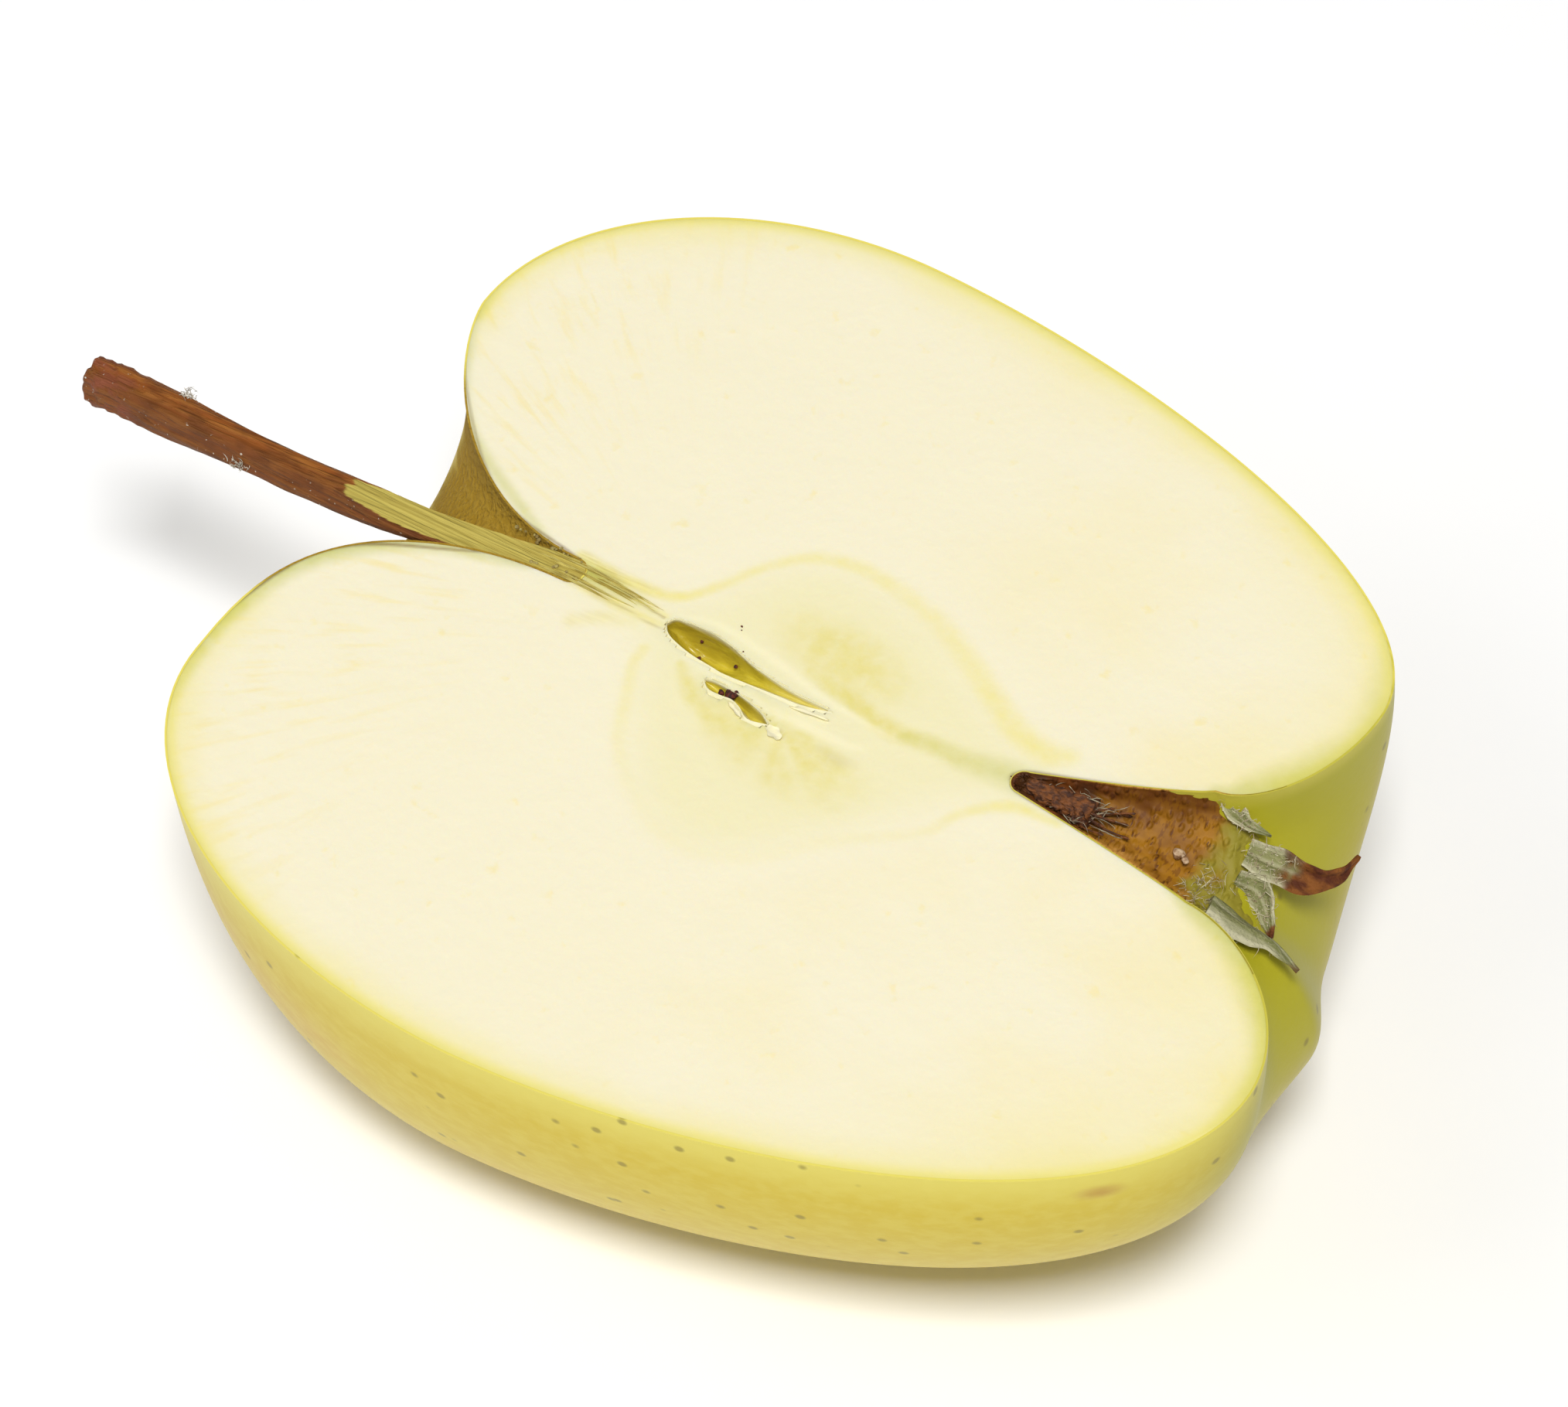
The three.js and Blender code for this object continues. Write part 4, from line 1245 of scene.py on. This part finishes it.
def tube_material():
    """Wall of the dried flower tube: corky amber, with rows of dark specks and dead tissue."""
    flower = bpy.context.scene.apple_flower
    material, tree, shader = new_material("Flower tube wall, dried")
    place = apple_coordinates(tree)
    teeth = spots(tree, place, (0.5, 0.85, 0.85), 0.15, 0.5)
    specks = mottle(tree, place, (0.28, 0.7, 0.7), 0.54, 0.62)
    cloud = mottle(tree, place, (2.0, 1.4, 1.4), 0.35, 0.65, detail=3.0)
    inner, deep = ("mouth", 0.1, 0.9), ("deep", 1.0, 0.0)
    layers = [
        ([cloud, 0.6], SHADES["tube_cloud"]),
        (["long_side", 0.8], SHADES["tube_long_side"]),
        (["brown_side", 0.75], SHADES["tube_brown_side"]),
        ([teeth, specks, inner, ("long_side", 0.0, 1.4), 0.9], flower.dark),
        ([specks, inner, 0.5], SHADES["tube_speck"]),
        ([("mouth", 1.0, 0.0), 0.9], SHADES["tube_mouth"]),
        ([deep, 0.92], flower.dark),
        ([deep, cloud, 0.6], SHADES["tube_crust"]),
    ]
    finish(tree, shader, flower.amber, layers, {"Roughness": 0.6, "Specular IOR Level": 0.25})
    bumped(tree, shader, teeth, 0.1)
    return material


class APPLE_OT_flower_tube(bpy.types.Operator):
    """Build the lining of the flower tube, sliced open in the cut face"""

    bl_idname = "apple_half.flower_tube"
    bl_label = "Flower tube"

    def execute(self, context):
        part = tube_part()
        x, y, z = part[0].T
        turn = np.arctan2(-z, -y)
        patch = layered_noise(turn * 3, x * 0.8, *NOISE["tube_patch"])
        marks = {
            "deep": smooth(x + 1.2 * patch, 24.5, 21.5),
            "long_side": smooth(turn + 0.25 * patch, 1.6, 0.9) * smooth(x, 23.0, 25.5),
            "mouth": smooth(x + 0.8 * patch, 30.0, 33.0),
            "brown_side": smooth(turn + 0.2 * patch, 2.4, 3.0) * smooth(x, 32, 29),
        }
        make_piece("flower_tube_lining", part, tube_material(), marks=marks)
        return {"FINISHED"}


# ---- Stem ----
STEM_PATH = [
    [-15.5, 0.1, -0.15], [-18.4, 0.1, -0.1], [-29.3, -1.5, -0.5], [-37.1, -1.5, -1.5],
    [-45.1, -1.3, -2.1], [-59.8, -0.35, -3.6],
]
STEM_BASE, STEM_MIDDLE, STEM_KNOB = 0.85, 1.35, 1.68  # radii
# Shares of the stem's length between which it swells to its middle and to its knob, its crust
# comes on, and its end rounds off.
SHAFT_SWELL, KNOB_SWELL, CRUST_SWELL, END_ROUND = (0, 0.45), (0.6, 0.9), (0.84, 0.95), (0.975, 1)
STEM_RINGS, STEM_SIDES = 260, 72
RIDGES, FINE_RIDGES = (5, 0.06), (13, 0.022)  # how many, and their height as a share of the radius
BARK_HEIGHT, CRUST_HEIGHT, FINE_CRUST_HEIGHT = 0.035, 0.16, 0.14
SLICE_LEAN = 0.08  # how steeply the slice falls towards the short cheek, where it begins
SLICE_LEVELS = (25, 35)  # and how far out along the core it comes to that
SLICE_DEPTH, FIBRE_HEIGHT = 0.04, (0.04, 0.03)  # the slice's own, and its fibres' with their most
TUFTS = [[-51.1, 0.3, -1.4, 40], [-44.6, -2.8, -1.9, 36]]  # middle of each tuft, and its hairs
# Lines of corky crumbs where the stem meets the flesh: two ends and how many crumbs.
CRUMBS = [
    [[-23.4, 1.2, -0.1], [-17.6, 1.0, -0.05], 22],
    [[-20.8, -0.75, -0.1], [-17.2, -0.4, -0.05], 14],
]
STRANDS = 40  # fibres that run from the sliced end of the stem into the core
TUFT_HAIR, STRAND_WIDTH = 0.07, 0.15


def stem_part():
    """The stem: rings swept along its path, then sliced by the knife. Returns its marks too.

    The radius grows from the base to the middle and again at the knob. It is multiplied by five
    cosine ridges and finer ones between them, and noise adds bark, and a crust on the knob.
    Whatever stands above the slice's plane is pressed down to it, bar low fibres."""
    path = curve_through(STEM_PATH, STEM_RINGS)
    steps = np.linalg.norm(np.diff(path, axis=0), axis=1)
    share = (np.concatenate([[0], np.cumsum(steps)]) / steps.sum())[:, None]
    angle = np.linspace(0, 2 * np.pi, STEM_SIDES, endpoint=False)[None]
    cos, sin = np.cos(angle), np.sin(angle)
    shaft = STEM_BASE + (STEM_MIDDLE - STEM_BASE) * smooth(share, *SHAFT_SWELL)
    knob = (STEM_KNOB - STEM_MIDDLE) * smooth(share, *KNOB_SWELL)
    ridges = RIDGES[1] * np.cos(RIDGES[0] * angle + 2 * share)
    fine = FINE_RIDGES[1] * np.cos(FINE_RIDGES[0] * angle + 5 * np.sin(4 * share))
    bark = BARK_HEIGHT * layered_noise(sin * 3 + 5, share * 9 + cos * 3, *NOISE["bark"])
    run = cos * 1.2 + 40 * share, sin * 1.2 + 3
    lumps = CRUST_HEIGHT * value_noise(*run, *NOISE["crust"])
    lumps += FINE_CRUST_HEIGHT * value_noise(*run, *NOISE["fine_crust"])
    ends = rounded(smooth(share, *END_ROUND)) * np.sqrt(smooth(share, -0.001, 0.06))
    crust = smooth(share, *CRUST_SWELL) * lumps
    radius = ((shaft + knob) * (1 + ridges + fine) + bark + crust) * ends
    points = swept(path, radius, STEM_SIDES)
    x, y, z = np.moveaxis(points, -1, 0)
    beside, above_path = y - path[:, None, 1], z - path[:, None, 2]
    ceiling = -SLICE_LEAN * smooth(-x, *SLICE_LEVELS) * np.maximum(beside + 0.4, 0)
    above = z - ceiling
    fibres = FIBRE_HEIGHT[0] * value_noise(x * 0.2, y * 4, *NOISE["slice"])
    fibres = np.minimum(fibres, FIBRE_HEIGHT[1])
    marks = {
        "slice": smooth(above, -0.03, 0.03),
        "knob": smooth(-x, 53, 57),
        "edge": smooth(np.abs(beside), 0.6, 1.2) * smooth(above_path, -0.9, 0.2),
        # The stem's lower side, towards the long cheek, is darkened with painted shade.
        "under": smooth(beside, 0.3, -1),
    }
    points[..., 2] = np.where(above > 0, ceiling - SLICE_DEPTH + fibres, z)
    return ringed(points), marks


def stem_material():
    """Dry bark, ridged lengthwise and paler on its ridges, with green-yellow pith where sliced."""
    stem = bpy.context.scene.apple_stem
    material, tree, shader = new_material("Stem bark, dry")
    place = apple_coordinates(tree)
    grain = mottle(tree, place, (7.0, 0.28, 0.28), 0.35, 0.68, detail=3.0)
    blotch = mottle(tree, place, (2.4, 1.2, 1.2), 0.4, 0.66, detail=3.0, seed=2.0)
    dust = mottle(tree, place, 0.35, 0.68, 0.74, seed=6.0)
    strands = mottle(tree, place, (9.0, 0.2, 0.5), 0.4, 0.62, seed=8.0)
    knob, sliced = ("knob", 1.0, 0.0), ("slice", 1.0, 0.0)
    layers = [
        ([grain, 0.45], stem.ridge),
        ([blotch, 0.5], SHADES["bark_blotch"]),
        # Painted shade on the stem's lower side.
        (["under", 0.5], SHADES["bark_painted_shade"]),
        ([knob, blotch, 0.7], SHADES["knob"]),
        ([knob, dust, 0.7], stem.fuzz),
        ([("edge", 1.0, 0.0), dust, 0.8], stem.fuzz),
        ([sliced], stem.pith),
        ([sliced, strands, 0.5], SHADES["slice_strand"]),
        ([("slice", 0.98, 0.5), ("slice", 0.05, 0.5), 0.8], SHADES["slice_edge"]),
    ]
    finish(tree, shader, stem.bark, layers, {"Roughness": 0.62, "Specular IOR Level": 0.25})
    bumped(tree, shader, grain, 0.1)
    return material


class APPLE_OT_stem(bpy.types.Operator):
    """Build the stem with its ridged bark, crusty knob and sliced end, fuzz, fibres and crumbs"""

    bl_idname = "apple_half.stem"
    bl_label = "Stem"

    def execute(self, context):
        part, marks = stem_part()
        make_piece("stem_bark", part, stem_material(), ["stem"], marks)
        rng = np.random.default_rng(5)
        roots, ends = [], []
        for *middle, count in TUFTS:
            root = np.array(middle) + rng.normal(0, [0.3, 0.2, 0.15], (count, 3))
            roots.append(root)
            ends.append(root + rng.normal([0, 0, 0.2], [0.28, 0.25, 0.15], (count, 3)))
        fuzz = plain_material(
            "Plant fuzz, pale", context.scene.apple_stem.fuzz, SHADES["tuft"], 0.8, 0.4, 0.01
        )
        tufts = hairs(np.vstack(roots), np.vstack(ends), TUFT_HAIR, rng, bend=0.35)
        make_piece("stem_fuzz", tufts, fuzz)
        x, y = rng.uniform(-22, -16.5, STRANDS), rng.uniform(-0.75, 1.1, STRANDS)
        start = np.column_stack([x, y])
        end = np.column_stack([rng.uniform(-14.5, -10, STRANDS), 0.85 * y - 0.55])
        end[:, 1] *= 0.4 + 0.6 * smooth(end[:, 0], -6, -14)
        start[:, 1] += 0.1 * (start[:, 0] + 17)
        lines = [
            np.column_stack([flat, rng.uniform(-0.13, -0.08, STRANDS)]) for flat in (start, end)
        ]
        size = 1.5, 0.15, 0.3
        pith = plain_material(
            "Stem fibres, sliced", SHADES["fibre"], SHADES["fibre_dark"], 0.6, size, 0.02
        )
        strands = hairs(*lines, STRAND_WIDTH, rng, bend=0.02, rings=9)
        make_piece("stem_strands", strands, pith)
        crumbs = []
        for first, last, count in CRUMBS:
            where = np.linspace(first, last, count) + rng.normal(0, [0.15, 0.16, 0.05], (count, 3))
            grains = np.column_stack([where, rng.uniform(0.06, 0.17, count)])
            crumbs.append(pebbles(grains, rng, squash=0.6))
        cork = plain_material(
            "Cork crumbs, dry", SHADES["crumb"], SHADES["crumb_dark"], 0.85, 0.3, 0.04
        )
        make_piece("stem_crumbs", joined(*crumbs), cork)
        return {"FINISHED"}


# ---- Dried flower ----
SEPALS = {
    "sepal_curled": {
        "midrib": [[30.8, 6.5, -0.9], [31.5, 5.8, -1.5], [32.8, 5.4, -1.8], [34.5, 5.5, -2.0]],
        "width": 1.5, "cup": 0.35, "across": [0.75, 0.65, 0], "dry_from": 0.9,
    },
    "sepal_long": {
        "midrib": [[33.3, 4.4, -3.3], [35.6, 4.6, -3.6], [38.0, 4.9, -3.9], [39.3, 6.2, -3.9],
                   [39.7, 8.1, -3.9]],
        "width": 2.5, "cup": 0.3, "across": [0.1, 0.75, 0.65], "dry_from": 0.2,
    },
    "sepal_short": {
        "midrib": [[33.4, 2.5, -4.2], [34.9, 2.9, -5.0], [36.2, 1.9, -5.6], [37.2, 0.7, -6.0]],
        "width": 2.2, "cup": 0.35, "across": [0.35, 0.8, 0.5], "dry_from": 0.8,
    },
    "sepal_low": {
        "midrib": [[33.4, -0.5, -2.7], [35.5, -0.4, -3.9], [37.8, -0.2, -5.0], [40.1, -0.8, -5.9]],
        "width": 3.3, "cup": 0.35, "across": [0.3, -0.75, 0.6], "dry_from": 0.85,
    },
}
SEPAL_THICKNESS = 0.36
SEPAL_ROWS, SEPAL_COLUMNS = 70, 30
SEPAL_HIGHEST = -0.02  # the knife cut off what stood above the cut face
SEPAL_TAPER = 0.72  # the half width at the base, as a share of the full one
SEPAL_POINT = (2.2, 0.75)  # the two powers by which it closes at the tip
SEPAL_RAGGED, SEPAL_VEINS = (0.06, 23), (0.025, 9)  # height of each, and radians of its wave
SEPAL_EDGE = 0.06  # half width left at the tip
SEPAL_THINNING = 0.6  # how much of the thickness is lost at the edges and at the tip
SEPAL_HAIRS = 90
SEPAL_HAIR, MOUTH_HAIR, THREAD_WIDTH = 0.05, 0.045, 0.07
MOUTH_WOOL = [32.3, 0.0, -2.9]  # the middle of the wool between the sepals
WOOL_SPREAD = [0.7, 0.9, 0.5]
PLUG_RINGS, PLUG_SIDES = 70, 40
PLUG_RADII, PLUG_LUMPS = (0.45, 1.2), 0.3  # where it begins and ends, and its lumps
FILAMENT_RINGS, FILAMENT_SIDES = 24, 8
FILAMENT_RADIUS, FILAMENT_SWELLING = 0.1, 0.06  # at its foot, and added near its end
THREADS = 60
STAMEN_HIGHEST, FILAMENT_HIGHEST, THREAD_HIGHEST = -0.06, -0.15, -0.12
STAMEN_PLUG = [[18.6, 0.1, -0.2], [20.5, 0.25, -0.6], [22.3, 0.45, -0.9], [23.8, 0.5, -1.1]]
# The two lobes of a pale dried anther on the wall, each its place and its radius.
ANTHER = [[29.6, 1.6, -2.6, 0.42], [30.3, 1.3, -2.5, 0.25]]
STAMEN_TIPS = [
    [26.2, 1.9, -0.7], [25.4, 0.6, -0.6], [26.0, 1.3, -1.5], [25.2, -0.6, -0.8], [25.8, 2.1, -1.6],
    [24.9, 1.4, -0.4], [25.0, -0.2, -0.5], [26.6, 0.4, -1.6],
]


def sepal_grid(sizes):
    """Upper and lower faces of a sepal as grids, with the share along and the swing across.

    A point is the midrib plus swing times the half width, lifted by cup times the squared
    swing, by small waves and by veins. The half width swells, then closes to a point at the
    tip, and the thickness falls off towards the edges and the tip."""
    path = curve_through(sizes["midrib"], SEPAL_ROWS)
    tangent = unit(np.gradient(path, axis=0))
    normal = unit(np.cross(tangent, sizes["across"]))
    side = np.cross(normal, tangent)
    share = np.linspace(0, 1, SEPAL_ROWS)[:, None]
    swing = np.linspace(-1, 1, SEPAL_COLUMNS)[None]
    taper = SEPAL_TAPER + 0.28 * np.sin(np.pi * np.minimum(share * 1.6, 1))
    point = np.maximum(1 - share ** SEPAL_POINT[0], 0) ** SEPAL_POINT[1]
    tears = np.sin(SEPAL_RAGGED[1] * share + 2 * np.sign(swing))
    ragged = 1 + SEPAL_RAGGED[0] * tears * np.abs(swing)
    half = sizes["width"] / 2 * taper * point * ragged + SEPAL_EDGE
    waves = 0.08 * np.sin(5 * swing + 7 * share)
    waves += 0.05 * value_noise(share * 9, swing * 2, *NOISE["sepal_wave"])
    veins = SEPAL_VEINS[0] * np.cos(SEPAL_VEINS[1] * swing) * (1 - swing**2)
    lift = sizes["cup"] * half * swing**2 + waves + veins
    middle = path[:, None] + side[:, None] * (swing * half)[..., None]
    thick = SEPAL_THICKNESS / 2 * (1 - SEPAL_THINNING * swing**4) * (1 - SEPAL_THINNING * share**3)
    faces = [middle + normal[:, None] * (lift + way * thick)[..., None] for way in (1, -1)]
    for face in faces:
        face[..., 2] = np.minimum(face[..., 2], SEPAL_HIGHEST)
    return faces, share, swing


def sepal_material():
    """Dried sepal: grey-green and felted at its base, brown and brittle towards its tip."""
    flower = bpy.context.scene.apple_flower
    material, tree, shader = new_material("Sepal, felted and dry")
    place = apple_coordinates(tree)
    patches = mottle(tree, place, (1.6, 0.7, 0.9), 0.38, 0.66, detail=4.0)
    fine = mottle(tree, place, (0.3, 0.2, 0.25), 0.4, 0.7, detail=3.0, seed=3.0)
    dry = ("dry", 1.0, 0.0)
    layers = [
        ([patches, 0.6], SHADES["leaf_patch"]),
        ([fine, 0.35], SHADES["leaf_pale"]),
        (["rib", 0.35], flower.wool),
        ([("edge", 1.0, 0.0), 0.8], flower.wool),
        ([dry], flower.tip),
        ([dry, patches, 0.6], SHADES["leaf_dry"]),
    ]
    finish(tree, shader, flower.felt, layers, {"Roughness": 0.75, "Specular IOR Level": 0.2})
    bumped(tree, shader, fine, 0.05)
    return material


class APPLE_OT_sepals(bpy.types.Operator):
    """Build the four dried sepals and the wool on them"""

    bl_idname = "apple_half.sepals"
    bl_label = "Sepals"

    def execute(self, context):
        leaf = sepal_material()
        rng = np.random.default_rng(23)
        wool = []
        for name, sizes in SEPALS.items():
            (upper, lower), share, swing = sepal_grid(sizes)
            part = shell(upper, lower, close_columns=True)
            along, across = both_faces(share, upper), both_faces(swing, upper)
            start = sizes["dry_from"]
            patch = 0.12 * layered_noise(*part[0].T[:2], *NOISE["sepal_dry"])
            marks = {
                "dry": smooth(along + patch, start, start + 0.22),
                "edge": smooth(np.abs(across), 0.7, 0.95) * smooth(along, 0.95, 0.6),
                "rib": smooth(np.cos(SEPAL_VEINS[1] * across), 0.2, 1),
            }
            make_piece(name + "_leaf", part, leaf, [name], marks)
            woolly_rows = int(SEPAL_ROWS * min(start + 0.15, 0.8))
            rows = rng.integers(0, woolly_rows, SEPAL_HAIRS)
            at = rows, rng.integers(0, SEPAL_COLUMNS, SEPAL_HAIRS)
            root = upper[at]
            lean = rng.normal(0, 0.22, root.shape) + grid_normals(upper)[at] * 0.15
            wool.append(hairs(root, root + lean, SEPAL_HAIR, rng, bend=0.4))
        root = rng.normal(MOUTH_WOOL, WOOL_SPREAD, (SEPAL_HAIRS, 3))
        end = root + rng.normal(0, 0.3, root.shape)
        wool.append(hairs(root, end, MOUTH_HAIR, rng, bend=0.5))
        hair = plain_material(
            "Sepal wool, pale", context.scene.apple_flower.wool, SHADES["wool"], 0.8, 0.5, 0.01
        )
        make_piece("sepal_wool", joined(*wool), hair)
        return {"FINISHED"}


def kept_below(points, height):
    """Points with none above a height, as the knife left them."""
    points[..., 2] = np.minimum(points[..., 2], height)
    return points


def plug_part(path):
    """The crust of stamens: rings swept along a path, wider towards its lumpy end."""
    share = np.linspace(0, 1, PLUG_RINGS)[:, None]
    angle = np.linspace(0, 2 * np.pi, PLUG_SIDES, endpoint=False)
    run = np.cos(angle) * 2 + 9 * share, np.sin(angle) * 2
    lumps = PLUG_LUMPS * layered_noise(*run, *NOISE["stamen_lump"])
    ends = rounded(smooth(share, 0.9, 1)) * smooth(share, -0.01, 0.1)
    smooth_radius = PLUG_RADII[0] + (PLUG_RADII[1] - PLUG_RADII[0]) * share
    radius = (smooth_radius + lumps * (0.4 + share)) * ends
    return ringed(kept_below(swept(path, radius, PLUG_SIDES), STAMEN_HIGHEST))


def filament_part(start, tip, rng):
    """A filament: thin rings along a bent way to its tip, with a small swelling near the end."""
    bend = (start + np.array(tip)) / 2 + rng.normal(0, 0.25, 3)
    line = kept_below(curve_through([start, bend, tip], FILAMENT_RINGS), FILAMENT_HIGHEST)
    share = np.linspace(0, 1, FILAMENT_RINGS)[:, None]
    swelling = FILAMENT_SWELLING * np.exp(-(((share - 0.93) / 0.05) ** 2))
    thin = FILAMENT_RADIUS - 0.04 * share + swelling
    radius = np.broadcast_to(thin * rounded(2 * share - 1, 16), (FILAMENT_RINGS, FILAMENT_SIDES))
    return ringed(swept(line, radius, FILAMENT_SIDES))


class APPLE_OT_stamens(bpy.types.Operator):
    """Build the crust of dried stamens at the bottom of the flower tube, and their filaments"""

    bl_idname = "apple_half.stamens"
    bl_label = "Stamens"

    def execute(self, context):
        flower = context.scene.apple_flower
        rng = np.random.default_rng(31)
        path = curve_through(STAMEN_PLUG, PLUG_RINGS)
        parts = [plug_part(path)]
        for tip in STAMEN_TIPS:
            start = path[int(PLUG_RINGS * rng.uniform(0.45, 0.95))] + rng.normal(0, 0.3, 3)
            parts.append(filament_part(start, tip, rng))
        dead = plain_material(
            "Dried stamens, brittle", flower.dark, SHADES["stamen"], 0.7, (0.5, 0.3, 0.3), 0.06
        )
        make_piece("dried_stamens", joined(*parts), dead, ["stamens"])
        chosen = path[rng.integers(20, PLUG_RINGS, THREADS)]
        roots = chosen + rng.normal(0, [0.7, 0.6, 0.2], (THREADS, 3))
        ends = roots + rng.normal([1.0, 0.1, 0.2], [1.0, 0.5, 0.3], (THREADS, 3))
        roots, ends = (kept_below(side, THREAD_HIGHEST) for side in (roots, ends))
        dry = plain_material(
            "Dried anther, pale", SHADES["anther"], SHADES["anther_dark"], 0.8, 0.4, 0.04
        )
        make_piece("dried_anther", pebbles(ANTHER, rng, squash=0.8), dry)
        grey = plain_material(
            "Stamen threads, grey", SHADES["thread"], flower.wool, 0.8, 0.5, 0.01
        )
        threads = hairs(roots, ends, THREAD_WIDTH, rng, bend=0.2)
        make_piece("stamen_threads", threads, grey)
        return {"FINISHED"}


# ---- Stage ----
CAMERA_TARGET = [8.314, -0.982, 34.078]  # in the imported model's frame
CAMERA_DISTANCE = 473.7
CAMERA_ROLL = math.radians(1.27)
LENS, SENSOR = 160.0, 36.0  # millimetres
CLIP_RANGE = 0.01, 20.0  # metres
FLOOR_SIDE = 6.0  # metres
KEY_LIGHT = ([0.84, -1.35, 2.54], 0.6)  # where it hangs and how wide it is, in metres
SIDE_LIGHT = ([-1.3, -1.6, 1.8], 1.8)


def floor_material():
    """Matt white paint, rolled: even, with a faint eggshell grain."""
    material, tree, shader = new_material("White paint, matt")
    place = add_node(tree, "ShaderNodeTexCoord")
    # These coordinates are in metres.
    grain = mottle(tree, place.outputs["Object"], 0.02, 0.3, 0.7)
    paint = bpy.context.scene.apple_stage.floor
    sockets = {"Roughness": 0.9, "Specular IOR Level": 0.1}
    finish(tree, shader, paint, [([grain, 0.2], SHADES["floor"])], sockets)
    return material


def add_area_light(name, where, width, power):
    """A square area light that faces the apple."""
    light = bpy.data.lights.new(name, "AREA")
    light.energy, light.size = power, width
    lamp = bpy.data.objects.new(name, light)
    lamp.location = where
    lamp.rotation_euler = (-Vector(where)).to_track_quat("-Z", "Y").to_euler()
    bpy.context.scene.collection.objects.link(lamp)


class APPLE_OT_stage(bpy.types.Operator):
    """Set up the plain floor, the soft light and the camera"""

    bl_idname = "apple_half.stage"
    bl_label = "Floor, light and camera"

    def execute(self, context):
        scene, stage = context.scene, context.scene.apple_stage
        half = FLOOR_SIDE / 2
        mesh = bpy.data.meshes.new("floor")
        corners = [(-half, -half, 0), (half, -half, 0), (half, half, 0), (-half, half, 0)]
        mesh.from_pydata(corners, [], [(0, 1, 2, 3)])
        mesh.materials.append(floor_material())
        floor = bpy.data.objects.new("floor", mesh)
        scene.collection.objects.link(floor)
        add_area_light("key_light", *KEY_LIGHT, stage.key)
        add_area_light("side_light", *SIDE_LIGHT, stage.side)
        world = bpy.data.worlds.new("sky")
        scene.world = world
        world.use_nodes = True
        sky = world.node_tree.nodes["Background"]
        sky.inputs["Color"].default_value = (1, 1, 1, 1)
        sky.inputs["Strength"].default_value = stage.fill
        scene.view_settings.view_transform = "Standard"
        flat = math.cos(stage.elevation)
        east, south = math.sin(stage.azimuth) * flat, -math.cos(stage.azimuth) * flat
        back = Vector((east, south, math.sin(stage.elevation)))
        camera = bpy.data.cameras.new("camera")
        camera.lens, camera.sensor_width, camera.sensor_fit = LENS, SENSOR, "HORIZONTAL"
        camera.clip_start, camera.clip_end = CLIP_RANGE
        eye = bpy.data.objects.new("camera", camera)
        turn = back.to_track_quat("Z", "Y").to_matrix() @ Matrix.Rotation(CAMERA_ROLL, 3, "Z")
        where = Vector(CAMERA_TARGET) * MM + back * CAMERA_DISTANCE * MM
        eye.matrix_world = Matrix.Translation(where) @ turn.to_4x4()
        scene.collection.objects.link(eye)
        scene.camera = eye
        return {"FINISHED"}


# ---- Panel and registration ----
OPERATORS = (
    APPLE_OT_cut_face,
    APPLE_OT_seed_cells,
    APPLE_OT_skin,
    APPLE_OT_flower_tube,
    APPLE_OT_stem,
    APPLE_OT_sepals,
    APPLE_OT_stamens,
    APPLE_OT_stage,
)
SETTINGS = {
    "apple_face": CutFaceSettings,
    "apple_skin": SkinSettings,
    "apple_core": CoreSettings,
    "apple_stem": StemSettings,
    "apple_flower": FlowerSettings,
    "apple_stage": StageSettings,
}


class APPLE_PT_panel(bpy.types.Panel):
    """Lists the steps that build the apple half, and its settings"""

    bl_label = "Apple half"
    bl_idname = "APPLE_PT_panel"
    bl_space_type = "VIEW_3D"
    bl_region_type = "UI"
    bl_category = "Apple half"

    def draw(self, context):
        for operator in OPERATORS:
            self.layout.operator(operator.bl_idname)
        for name, settings in SETTINGS.items():
            box = self.layout.box()
            for key in settings.__annotations__:
                box.prop(getattr(context.scene, name), key)


def register():
    for cls in (*SETTINGS.values(), *OPERATORS, APPLE_PT_panel):
        bpy.utils.register_class(cls)
    for name, settings in SETTINGS.items():
        setattr(bpy.types.Scene, name, bpy.props.PointerProperty(type=settings))


def unregister():
    for name in SETTINGS:
        delattr(bpy.types.Scene, name)
    for cls in reversed((*SETTINGS.values(), *OPERATORS, APPLE_PT_panel)):
        bpy.utils.unregister_class(cls)


def main():
    register()
    for operator in OPERATORS:
        group, name = operator.bl_idname.split(".")
        getattr(getattr(bpy.ops, group), name)()


if __name__ == "__main__":
    main()
